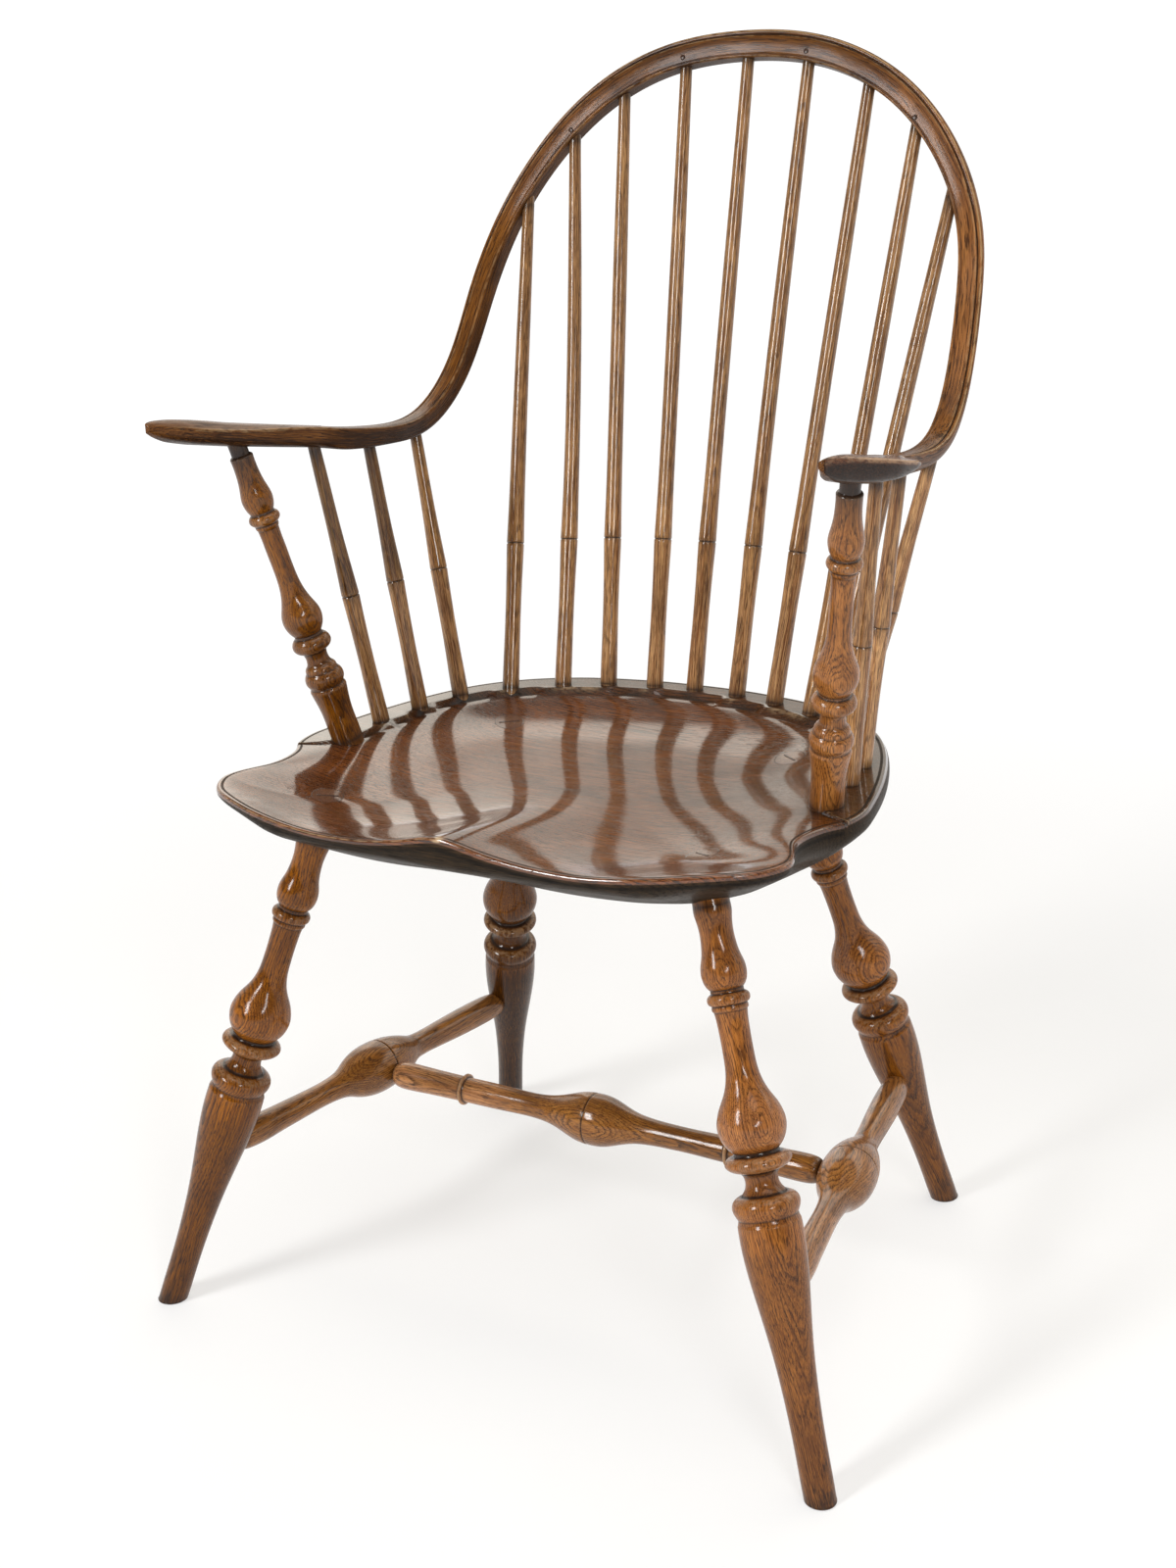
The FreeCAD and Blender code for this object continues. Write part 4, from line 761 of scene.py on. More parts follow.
    # wear on the lip, stronger on its left half, where it is also a painted highlight, and a pale line on the outer
    # shoulder of the gutter, partly wear and partly a painted highlight
    de = np.abs(row - (n_top - 4))
    lw = np.where(X < 4, 0.55, 0.22)
    wear = np.where(fr > 0, lw * np.exp(-(de / 0.9) ** 2), 0.12 * np.exp(-(de / 1.5) ** 2))
    wear = np.maximum(wear, np.where(top, 0.6 * np.exp(-((S + 1.7) / 0.45) ** 2), 0.0))
    pom = np.exp(-(((X - 1.0) / 5.0) ** 2)) * np.where(top, smooth(-188, -199, Y), 0.0)
    wear = np.maximum(wear, pom * 0.8)
    # a thin dark line just below the lip, painted shade of its overhang
    wrow = (row - n_top)
    under = np.exp(-((wrow - 2.5) / 0.9) ** 2) * (fr > 0) * (row >= n_top)
    dirt = np.maximum(dirt, np.where(X < 0, 0.7, 0.95) * under)
    dirt = np.maximum(dirt, np.where((fr > 0) & top & (X > 6), 0.5 * np.exp(-((row - (n_top - 9)) / 1.2) ** 2), 0.0))
    side = np.where(row >= n_top, 1.0, 0.0) * np.clip((wrow + 2) / 5.0, 0, 1)
    deck = np.where(top & (S < -1.0), 0.75, 0.0)
    hazy = np.maximum(side * 0.8, deck)
    wob = wobble(V, 5, 160.0)
    tone = 0.5 + 0.05 * wob + np.where(row >= n_top, -0.04, 0.0)
    # painted shade: the right of the saddle is darkened, fading out towards the front; a lighter band runs along the
    # front on the right
    tone = tone - 0.27 * np.where(top, smooth(30, 140, X) * smooth(-120, -10, Y), 0.0)
    tone = tone + 0.14 * np.where(top, np.exp(-((Y + 170) / 38.0) ** 2) * smooth(10, 120, X), 0.0)
    F = np.stack([np.clip(dirt, 0, 1), np.clip(wear, 0, 1), np.clip(tone, 0, 1), np.clip(hazy, 0, 1)], -1)
    rows_m = (np.arange(n - 1) >= n_top).astype(int)
    k0 = 46 + len(inner) - 1
    rows_m[k0 - 7:k0 + 3] = 2
    return V, W, F, rows_m


# ---------------------------------------------------------------- turned pieces
def profile(segs, step=1.1, edge=0.22):
    S, R = [], []
    for k, run in enumerate(segs):
        p = np.array(run, float)
        t = chord(p)
        if len(p) == 2:
            n = max(2, int(math.ceil(t[-1] / (6.0 if t[-1] > 12 else 1.5))) + 1)
            q = np.linspace(0, t[-1], n)
            f = lambda v, p=p, t=t: np.stack([np.interp(v, t, p[:, 0]), np.interp(v, t, p[:, 1])], -1)
        else:
            n = max(4, int(math.ceil(t[-1] / step)) + 1)
            q = np.linspace(0, t[-1], n)
            f = spline(t, p)
        if t[-1] > 4 * edge:
            q = np.unique(np.concatenate([q, [edge, t[-1] - edge]]))
        v = f(q)
        if k:
            v = v[1:]
        S.append(v[:, 0])
        R.append(v[:, 1])
    S, R = np.concatenate(S), np.concatenate(R)
    o = np.argsort(S, kind="stable")
    S, R = S[o], R[o]
    keep = np.concatenate([[True], np.diff(S) > 0.02])
    S, R = S[keep], R[keep]
    # ease the sharp corners a little
    R2 = R.copy()
    near = np.minimum(S[2:] - S[1:-1], S[1:-1] - S[:-2]) < 0.5
    mid = R[:-2] + (R[2:] - R[:-2]) * (S[1:-1] - S[:-2]) / (S[2:] - S[:-2])
    R2[1:-1] = np.where(near, 0.55 * R[1:-1] + 0.45 * mid, R[1:-1])
    return S, R2


def relief(S, R):
    """grime and wear from how far the profile lies under or over its surroundings"""
    g = np.arange(S[0] - 12, S[-1] + 12, 0.25)
    r = np.interp(g, S, R)

    def box(w):
        k = int(w / 0.25) | 1
        p = np.pad(r, k // 2, mode="edge")
        return np.convolve(p, np.ones(k) / k, "valid")
    n1, n2 = box(2.6), box(9.0)
    dirt = np.clip((n1 - r) / 0.32, 0, 1) * 1.0 + np.clip((n2 - r) / 2.6, 0, 1) * 0.6
    wear = np.clip((r - n1) / 0.5, 0, 1) * 0.5 + np.clip((r - n2) / 3.0, 0, 1) * 0.4
    return np.interp(S, g, np.clip(dirt, 0, 1)), np.interp(S, g, np.clip(wear, 0, 1))


def axes(ax):
    ax = unit(ax)
    e1 = unit(np.cross(ax, [0.0, 1.0, 0.2]) if abs(ax[1]) < 0.9 else np.cross(ax, [1.0, 0, 0]))
    return e1, np.cross(ax, e1), ax


def turned(segs, A, ax, cols=64, seed=1, off=(30.0, 20.0), tilt=(0.02, 0.0), tone=0.5, joints=(), bend=None, low=None, high=None,
           step=1.1, haze_shade_and_sheen=None, ovality=0.12, lift=None):
    """rows x columns of a lathe piece, its wood coordinates and masks"""
    r_ = np.random.RandomState(seed)
    S, R = profile(segs, step)
    D, Wr = relief(S, R)
    e1, e2, ax = axes(ax)
    th = 2 * math.pi * np.arange(cols) / cols
    ca, sa = np.cos(th)[None, :], np.sin(th)[None, :]
    SS = S[:, None] * np.ones((1, cols))
    # the lathe leaves a piece very slightly uneven, and old wood shrinks across the rings
    ov = 1.0 + ovality * 0.01 * np.cos(2 * (th[None, :] - r_.rand() * 3.14))
    RR = R[:, None] * ov
    if low is not None:
        # cut level at the floor
        s_b = (low - A[2] - RR * (ca * e1[2] + sa * e2[2])) / ax[2]
        k = np.clip((14.0 - SS) / (14.0 - S[0]), 0, 1)
        SS = np.where(SS < 14.0, 14.0 + (s_b - 14.0) * k, SS)
    if high is not None:
        s_t = np.full((1, cols), S[-1])
        for _ in range(12):
            q = A + ax * s_t[..., None] + RR[-1:, :, None] * (ca[..., None] * e1 + sa[..., None] * e2)
            s_t = s_t + (high(q) - q[..., 2]) / ax[2]
        h0 = 412.0
        k = np.clip((SS - h0) / (S[-1] - h0), 0, 1)
        SS = np.where(SS > h0, h0 + (s_t - h0) * k, SS)
    L = A + ax * SS[..., None] + RR[..., None] * (ca[..., None] * e1 + sa[..., None] * e2)
    if bend is not None:
        L = L + bend(SS)[..., None] * bend.direction
    ph = r_.rand() * 6.28
    x, y = RR * np.cos(th + ph), RR * np.sin(th + ph)
    W = np.stack([x + off[0] + tilt[0] * SS, y + off[1] + tilt[1] * SS, SS + 1000.0 * r_.rand()], -1)
    D2 = D.copy()
    # dark bands at the joints; where a band is wide, as at the spindles' tops, it is also a painted contact shadow
    for sj, wd in joints:
        D2 = np.maximum(D2, 0.95 * np.exp(-np.abs(S - sj) / wd))
    dirt = D2[:, None] * np.ones((1, cols))
    wear = Wr[:, None] * np.ones((1, cols))
    t = tone + 0.03 * wobble(L, seed + 77, 110.0) + 0.02 * wobble(L, seed + 7, 30.0)
    hz = np.zeros_like(SS) if haze_shade_and_sheen is None else haze_shade_and_sheen(SS, L)
    if lift is not None:
        t = t + lift(SS)
    F = np.stack([dirt, wear, np.clip(t, 0, 1), np.clip(hz, 0, 1)], -1)
    a = b = None
    V = L
    rows_m = None
    if low is not None:
        # level foot with a small rounded rim
        V = V.copy()
        c = V[0].mean(0)
        ring0 = V[0].copy()
        V[0] = c + (ring0 - c) * 0.94
        V[0, :, 2] = low
        ring1 = ring0.copy()
        ring1[:, 2] = low + 0.7
        V = np.vstack([V[:1], ring1[None], V[1:]])
        inner = [c + (V[0] - c) * k for k in (0.3, 0.65)]
        V = np.vstack([np.array(inner), V])
        W = np.vstack([np.array([W[0].mean(0) + (W[0] - W[0].mean(0)) * k for k in (0.3, 0.65)]), W[:1], W])
        F = np.vstack([F[:1], F[:1], F[:1], F])
        F[:6, :, 0] = np.maximum(F[:6, :, 0], 0.45)
        a = c
    if high is not None:
        c = A + ax * s_t.mean()
        c[2] = high(c[None, None])[0, 0]
        caps, cw, cf = [], [], []
        w0, wc_ = W[-1], W[-1].mean(0)
        for k in (0.985, 0.96, 0.93, 0.88, 0.8, 0.65, 0.45, 0.22):
            q = c + (V[-1] - c) * k
            q[:, 2] = high(q[None])[0] + 0.1 * (1 - k) ** 0.5
            caps.append(q)
            cw.append(wc_ + (w0 - wc_) * k)
            f = F[-1].copy()
            f[:, 0] = 0.75 if k > 0.95 else (0.25 if k > 0.9 else 0.0)
            f[:, 2] = 0.46
            f[:, 3] = 0.0
            f[:, 1] = 0.25 * (1 - k)
            cf.append(f)
        n0 = len(V)
        V = np.vstack([V, np.array(caps)])
        W = np.vstack([W, np.array(cw)])
        F = np.vstack([F, np.array(cf)])
        c = c.copy()
        c[2] = high(c[None, None])[0, 0] + 0.1
        b = c
        rows_m = np.zeros(len(V) - 1, int)
        rows_m[n0 - 8:] = 1
    return shell(V, W, F, a, b, rows_m)


class Sway:
    """a spindle that has taken a slight bow"""

    def __init__(self, L, amount, direction):
        self.L, self.amount, self.direction = L, amount, np.asarray(direction, float)

    def __call__(self, s):
        k = np.clip(s / self.L, 0, 1)
        return self.amount * np.sin(math.pi * k) ** 1.2


# ================================================================ the pieces
BASES = [(-154.6, 152), (-116.2, 177), (-79.4, 192.5), (-38.5, 201), (-1, 203), (39.9, 201), (78.7, 192.5), (118.5, 177), (145.5, 149)]
TOPS = [(-196.6, 291.3, 839.5), (-156.2, 307.5, 892.7), (-111.4, 317.4, 926.9), (-54.7, 322.5, 947.3), (1.2, 325.7, 952.3),
        (56.9, 322.2, 947.6), (111.4, 317.4, 928.0), (155.4, 308.2, 894.4), (190.9, 291.9, 842.0)]
ARM_BASES = {"left": [(-210.6, 35), (-200, 77.5), (-185.8, 119.5)], "right": [(213, 33.5), (206.5, 72.5), (179.5, 117.5)]}
ARM_TOPS = {"left": [(-239.8, 13.2, 670.6), (-232.9, 78, 662.8), (-232.5, 145.6, 662.3)],
            "right": [(238.9, 18.6, 669.4), (232.4, 79.1, 661.9), (231.2, 143.2, 660.5)]}
POST_BASE = {"left": P(-210.5, -13.5, 439.7), "right": P(214.2, -13.5, 439.7)}
POST_TOP = {"left": P(-254.9, -63.4, 684.0), "right": P(254.0, -63.4, 684.0)}
SEATED = [(x, y, 7.3) for x, y in BASES] + [(x, y, 7.2) for s in ("left", "right") for x, y in ARM_BASES[s]]
SEATED += [(-210.5, -13.5, 12.6), (214.2, -13.5, 12.6)]

V, W, F, rows_m = build_seat()
emit("seat_plank", [shell(V, W, F, None, None, rows_m)], [M_SEAT, M_WALL, M_GROOVE], ["seat"])

# ---------------------------------------------------------------- legs
FEET = {("front", "left"): P(-290.9, -207.4, 0), ("front", "right"): P(290.9, -207.4, 0),
        ("rear", "left"): P(-223.8, 219.2, 0), ("rear", "right"): P(223.8, 219.2, 0)}
HEADS = {("front", "left"): P(-160.5, -108.6, 430), ("front", "right"): P(160.5, -108.6, 430),
         ("rear", "left"): P(-129.6, 107.6, 430), ("rear", "right"): P(129.6, 107.6, 430)}


def high(q):
    return saddle_z(q[..., 0], q[..., 1] - YO) + 0.1


# each leg's tone; the rear left's very low value is partly painted shade from the seat above it
leg_tone_and_shade = {("front", "left"): 0.22, ("front", "right"): 0.52, ("rear", "left"): 0.02, ("rear", "right"): 0.36}
leg_off = {("front", "left"): (26.0, 22.0), ("front", "right"): (-16.0, 38.0), ("rear", "left"): (34.0, 12.0), ("rear", "right"): (20.0, 30.0)}
leg_tilt = {("front", "left"): (0.035, -0.02), ("front", "right"): (0.05, -0.045), ("rear", "left"): (0.02, 0.03), ("rear", "right"): (-0.03, 0.03)}
wedge_turn = {("front", "left"): 35, ("front", "right"): -30, ("rear", "left"): 40, ("rear", "right"): -38}
for n, key in enumerate(FEET):
    A, B = FEET[key], HEADS[key]
    ax = unit(B - A)
    shift = 0.0 if key[0] == "front" else REAR_SHIFT
    segs = [[(s - shift * float(smooth(20, 150, s)), r) for s, r in run] for run in LEG]
    segs[0] = [(-4.0, 11.5), (1.6, 11.5)]
    segs[1][0] = (1.6, 11.5)
    s_seat = (396.0 - A[2]) / ax[2]
    # painted shade: each leg is mixed towards its dark colour below the rings and at the foot, and the rear left one
    # much more, as in the seat's shadow; the lift on the big bulb is a painted highlight
    sh = shell_ = turned(segs, A, ax, 80, 31 + n, leg_off[key], leg_tilt[key], leg_tone_and_shade[key], joints=[(s_seat, 4.0)],
                         low=0.0, high=high, haze_shade_and_sheen=lambda SS, L, k=key: 0.34 * smooth(186, 170, SS) + 0.16 * smooth(150, 0, SS) + 0.5 * np.exp(-np.abs(SS) / 9.0) + (0.45 if k == ("rear", "left") else 0.0),
                         lift=lambda SS: 0.04 * smooth(185, 215, SS) + 0.2 * np.exp(-((SS - 268.0) / 20.0) ** 2))
    emit("leg_%s_%s" % key + ".turned", [sh], [M_LEG, M_TENON], ["leg_%s_%s" % key])
    # the wedge that spreads the tenon shows as a thin strip in its end
    e1, e2, _ = axes(ax)
    lat = unit(np.cross([0.0, 1.0, 0.0], ax))
    fwd = np.cross(ax, lat)
    a = math.radians(wedge_turn[key])
    wdir = lat * math.cos(a) + fwd * math.sin(a)
    tdir = np.cross(ax, wdir)
    hw, ht = 9.0, 0.85
    m = 40
    ang = 2 * math.pi * np.arange(m) / m
    # a flat strip with eased corners
    lx = hw * np.sign(np.cos(ang)) * np.abs(np.cos(ang)) ** 0.35
    ly = ht * np.sign(np.sin(ang)) * np.abs(np.sin(ang)) ** 0.6
    s_t = 418.0
    for _ in range(10):
        q = A + ax * s_t
        s_t += (float(high(q[None])[0]) - q[2]) / ax[2]
    rows, wr, fr_ = [], [], []
    for s_, k, up in [(s_t - 22, 1, 0), (s_t - 12, 1, 0), (s_t - 4, 1, 0), (s_t, 1, 1), (s_t, 0.96, 2), (s_t, 0.8, 3), (s_t, 0.4, 3), (s_t, 0.1, 3)]:
        q = A + ax * s_ + (lx * k)[:, None] * wdir + (ly * k)[:, None] * tdir
        if up:
            q[:, 2] = high(q) + (0.28, 0.42, 0.46)[up - 1]
        rows.append(q)
        wr.append(np.stack([ly * k + 12, lx * k + 3, np.full(m, s_)], -1))
        fr_.append(np.tile([0.85 if up in (1, 2) else 0.3, 0.0, 0.42, 0.0], (m, 1)))
    emit("wedge_%s_%s" % key, [shell(np.array(rows), np.array(wr), np.array(fr_))], [M_WEDGE], ["leg_wedge_%s_%s" % key])

# ---------------------------------------------------------------- stretchers
for n, (side, sx) in enumerate((("left", -1), ("right", 1))):
    A, B = P(sx * 249.8, -176.9, 133.0), P(sx * 196.5, 186.3, 126.7)
    ax = unit(B - A)
    sh = turned(SIDE, A, ax, 72, 51 + n, ((22.0, 26.0), (-30.0, 14.0))[n], ((0.03, 0.02), (0.04, -0.03))[n], (0.36, 0.5)[n],
                joints=[(19, 3.0), (349, 3.0)])
    emit("side_stretcher_%s.turned" % side, [sh], [M_STR], ["side_stretcher_" + side])
# the lift lightens the left end all round: a painted highlight
sh = turned(MED, P(-223.1, 4.7, 127.8), (1, 0, 0), 72, 57, (24.0, -20.0), (0.045, 0.03), 0.36, joints=[(22.6, 2.5), (423.6, 2.5)],
            lift=lambda SS: 0.45 * smooth(165, 110, SS))
emit("medial_stretcher.turned", [sh], [M_STR], ["medial_stretcher"])

# ---------------------------------------------------------------- arm posts
for n, side in enumerate(("left", "right")):
    A, ax = POST_BASE[side], unit(POST_TOP[side] - POST_BASE[side])
    # the post is mixed towards its darker colour near its top, below the hand, and the lift makes the pin above the
    # shoulder much darker
    sh = turned(POST, A, ax, 72, 61 + n, ((24.0, 18.0), (-20.0, 26.0))[n], ((0.05, 0.02), (0.05, -0.04))[n], (0.12, 0.5)[n],
                joints=[(0.5, 3.5), (246.5, 3.0), (252.0, 8.0)], lift=lambda SS: -0.5 * smooth(245.2, 246.6, SS),
                haze_shade_and_sheen=lambda SS, L, n=n: 0.75 * smooth(204, 250, SS) * (0.7 if n == 0 else 1.0))
    emit("arm_post_%s.turned" % side, [sh], [M_POST], ["arm_post_" + side])


# ---------------------------------------------------------------- spindles
def long_profile(L):
    return [
        [(-25, 7.2), (0, 7.3)],
        [(0, 7.3), (20, 7.2), (45, 6.9), (75, 6.85), (100, 7.15), (115, 7.45), (125.0, 7.6)],
        [(125.0, 7.6), (126, 6.95)],
        [(126, 6.95), (127.0, 7.6)],
        [(127.0, 7.6), (140, 7.35), (165, 6.95), (200, 6.7), (0.58 * L, 6.4), (0.75 * L, 6.0), (0.88 * L, 5.5), (L, 5.0)],
        [(L, 5.0), (L + 11, 4.8)],
    ]


def short_profile(L):
    return [
        [(-25, 7.1), (0, 7.2)],
        [(0, 7.2), (20, 7.0), (45, 6.55), (70, 6.6), (90, 6.9), (109.0, 7.4)],
        [(109.0, 7.4), (110, 6.8)],
        [(110, 6.8), (111.0, 7.4)],
        [(111.0, 7.4), (125, 6.9), (145, 6.2), (170, 5.6), (L - 12, 5.2), (L, 5.0)],
        [(L, 5.0), (L + 11, 4.8)],
    ]


image_right = np.array([math.cos(math.radians(30)), math.sin(math.radians(30)), 0.0])
sways = {2: 3.4, 1: -0.8, 4: 0.9, 6: -0.7, 8: 1.0}
for n in range(9):
    bx, by = BASES[n]
    A, B = P(bx, by, deck_z(by)), P(*TOPS[n])
    L = float(np.linalg.norm(B - A))
    ax = unit(B - A)
    bend = Sway(L, sways.get(n + 1, 0.0), unit(image_right - ax * float(np.dot(image_right, ax)))) if n + 1 in sways else None
    a = rng.rand() * 6.28
    # the wide dark band where the spindle meets the bow is a dark joint widened into a painted contact shadow, and the
    # greyer upper part is a painted sheen
    sh = turned(long_profile(L), A, ax, 40, 71 + n, (34 * math.cos(a), 34 * math.sin(a)), (0.006 * rng.randn(), 0.006 * rng.randn()),
                0.47 + 0.03 * rng.randn(), joints=[(0, 3.0), (126, 0.8), (L - 1, 6.0)], bend=bend, step=2.4,
                haze_shade_and_sheen=lambda SS, q, L=L: 0.62 * smooth(110, 250, SS), lift=lambda SS: 0.12 * smooth(140, 20, SS))
    emit("back_spindle_%d.turned" % (n + 1), [sh], [M_SPIN], ["back_spindle_%d" % (n + 1)])
for side in ("left", "right"):
    for n in range(3):
        bx, by = ARM_BASES[side][n]
        A, B = P(bx, by, deck_z(by)), P(*ARM_TOPS[side][n])
        L = float(np.linalg.norm(B - A))
        a = rng.rand() * 6.28
        # the wide dark band at the top, where the spindle meets the arm, is partly a painted contact shadow, and the
        # slight greying upwards is a painted sheen
        sh = turned(short_profile(L), A, unit(B - A), 40, 91 + n + (10 if side == "right" else 0), (30 * math.cos(a), 30 * math.sin(a)),
                    (0.008 * rng.randn(), 0.008 * rng.randn()), (0.45 if side == "left" else 0.56) + 0.03 * rng.randn(),
                    joints=[(0, 3.0), (110, 0.8), (L - 1, 6.0)], step=2.4, haze_shade_and_sheen=lambda SS, q: 0.1 * smooth(90, 200, SS),
                    lift=lambda SS, dim=(0.5, 0.42, 0.16)[n] if side == "left" else 0.04: 0.1 * smooth(120, 20, SS) - dim * smooth(95, 125, SS))
        emit("arm_spindle_%s_%d.turned" % (side, n + 1), [sh], [M_SPIN], ["arm_spindle_%s_%d" % (side, n + 1)])

# ---------------------------------------------------------------- bow
knots = [P(-x, y, z) for x, y, z in KL[:0:-1]] + [P(x, y, z) for x, y, z in KR]
kt = chord(knots)
bow_f = spline(kt, np.array(knots))
fine_t = np.linspace(0, kt[-1], 6001)
fine_p = bow_f(fine_t)
arc = chord(fine_p)
PSI = math.radians(14)


def frames(ts):
    p = bow_f(ts)
    t = bow_f(ts + 0.05) - bow_f(ts - 0.05)
    t /= np.linalg.norm(t, axis=1)[:, None]
    nh = unit([0, -1, 0.31])
    sg = np.where(p[:, 0] < 0, -1.0, 1.0)
    wv = np.stack([sg * math.cos(PSI), np.full(len(p), math.sin(PSI)), np.zeros(len(p))], -1)
    na = np.cross(wv, t)
    na = na * np.where(na @ np.array([0, -1.0, 1.0]) < 0, -1, 1)[:, None]
    na /= np.linalg.norm(na, axis=1)[:, None]
    k = np.where(p[:, 2] < 880, smooth(880, 740, p[:, 2]), 0.0)
    k = np.where(p[:, 1] - YO < 200, 1.0, k)[:, None]
    n = nh * (1 - k) + na * k
    n = n - t * (n * t).sum(1)[:, None]
    n /= np.linalg.norm(n, axis=1)[:, None]
    wd = np.cross(t, n)
    wd = wd * np.where(wd[:, 0] * sg + 0.6 * wd[:, 2] < 0, -1, 1)[:, None]
    return p, t, n, wd


def round_poly(pts, rad, cuts, nf=4):
    """a closed outline with eased corners; cuts are the straight steps on each side"""
    pts = np.asarray(pts, float)
    m = len(pts)
    out = []
    nxt, prv = np.roll(pts, -1, 0), np.roll(pts, 1, 0)
    le = np.linalg.norm(nxt - pts, axis=1)
    lp = np.roll(le, 1)
    rr = np.minimum(np.asarray(rad, float), 0.48 * np.minimum(le, lp))
    a = pts + (prv - pts) * (rr / lp)[:, None]
    b = pts + (nxt - pts) * (rr / le)[:, None]
    for i in range(m):
        for k in range(nf + 1):
            u = k / nf
            out.append(a[i] * (1 - u) ** 2 + pts[i] * 2 * u * (1 - u) + b[i] * u * u)
        j = (i + 1) % m
        for k in range(1, cuts[i] + 1):
            u = k / (cuts[i] + 1.0)
            out.append(b[i] + (a[j] - b[i]) * u)
    return np.array(out)


def bow_section(w, e):
    h = w / 2.0
    return [(-h + 0.9, 0.15), (0.0, -0.5), (h - 1.4, 0.1), (h, 1.5), (h - 0.3, e * 0.52), (h - 3.2, e - 2.8),
            (h - 8.0, e), (-h + 2.2, e), (-h + 0.3, e - 1.6), (-h, e * 0.5), (-h, 1.0)]


BOW_RAD = [0.8, 9.0, 1.1, 1.2, 5.0, 4.0, 4.0, 1.6, 1.6, 6.0, 0.8]
HAND_RAD = [1.2, 6.0, 0.5, 3.0, 3.0, 3.0, 0.5, 4.0, 3.0, 4.0, 1.2]
CUTS = [16, 22, 1, 3, 2, 3, 5, 1, 4, 4, 1]
PEG_AT, TOPS_A = [], []


def tab(t, y):
    return float(np.interp(y, *zip(*sorted(t))))


SM = {}


def stab(key, t, y):
    if key not in SM:
        SM[key] = smooth_tab(t)
    return float(SM[key](y))


def stick_section(y, sx):
    xi, xg, z = stab("in", INNER, y), stab("gl", GLUE, y), stab("zt", ZTOP, y)
    xg = max(xg, xi + 4)
    ei, eg, dr = stab("ei", E_IN, y), stab("eg", E_GL, y), stab("dr", DROP, y)
    k = min(1.0, (xg - xi) / 20.0)
    q = [(xi + 0.9 * k, 0.15 + dr), (xi + (xg - xi) * 0.5, -0.4 * k + dr * 0.34), (xg, 0.0), (xg, eg * 0.30), (xg, eg * 0.6),
         (xg, eg * 0.85), (xg, eg), (xi + 4.6 * k, ei + (eg - ei) * 0.25), (xi + 0.8 * k, dr + (ei - dr) * 0.84),
         (xi, dr + (ei - dr) * 0.5), (xi, dr + (ei - dr) * 0.07)]
    return q, z


def block_section(y, sx):
    xg, xo, z = stab("gl", GLUE, y), stab("ou", OUTER, y), stab("zt", ZTOP, y)
    xo = max(xo, xg + 0.8)
    eg, eo = stab("eb", E_BK, y), stab("eo", E_OUT, y)
    wth = xo - xg
    f = 2.8 * min(1.0, wth / 16.0)
    eo = min(f + eo, eg * 0.9)
    q = [(xg, 0.0), (xg + wth * 0.42, 0.3 * f / 2.8 - 0.3), (xo - min(2.4, wth * 0.3), f * 0.55), (xo, f), (xo, f + (eo - f) * 0.6),
         (xo - min(3.4, wth * 0.3), eo + (eg - eo) * 0.16), (xg + wth * 0.58, eo + (eg - eo) * 0.58),
         (xg + wth * 0.3, eo + (eg - eo) * 0.9), (xg, eg)]
    return q, z


def grooves(ab, h, k):
    """the scribed line near the outer edge, its bead, and the softer one inside"""
    a, b = ab[:, 0], ab[:, 1]
    on = (b < 0.9) * k
    cut = 0.9 * np.exp(-((a - (h - 4.4)) / 0.5) ** 2) - 0.22 * np.exp(-((a - (h - 2.3)) / 1.0) ** 2)
    cut = cut + 0.32 * np.exp(-((a + (h - 2.6)) / 0.5) ** 2)
    out = ab.copy()
    out[:, 1] = b + cut * on
    dirt = (np.exp(-((a - (h - 4.4)) / 0.62) ** 2) * 1.0 + 0.55 * np.exp(-((a + (h - 2.6)) / 0.6) ** 2)) * on
    wear = (0.75 * np.exp(-((a - (h - 1.5)) / 0.7) ** 2) + 0.35 * np.exp(-((a - (h - 5.6)) / 0.5) ** 2)) * on
    wear = wear + 0.3 * np.exp(-((a + h - 0.7) / 0.7) ** 2) * (b < 1.4)
    return out, dirt, wear


def depth_at(p):
    y = p[1] - YO
    if y > 150:
        return 14.8 + (15.9 + 0.4 - 14.8) * float(smooth(700, 800, p[2]))
    return 14.8 + 2.7 * float(smooth(110, 44, y)) if y < 110 else 14.8


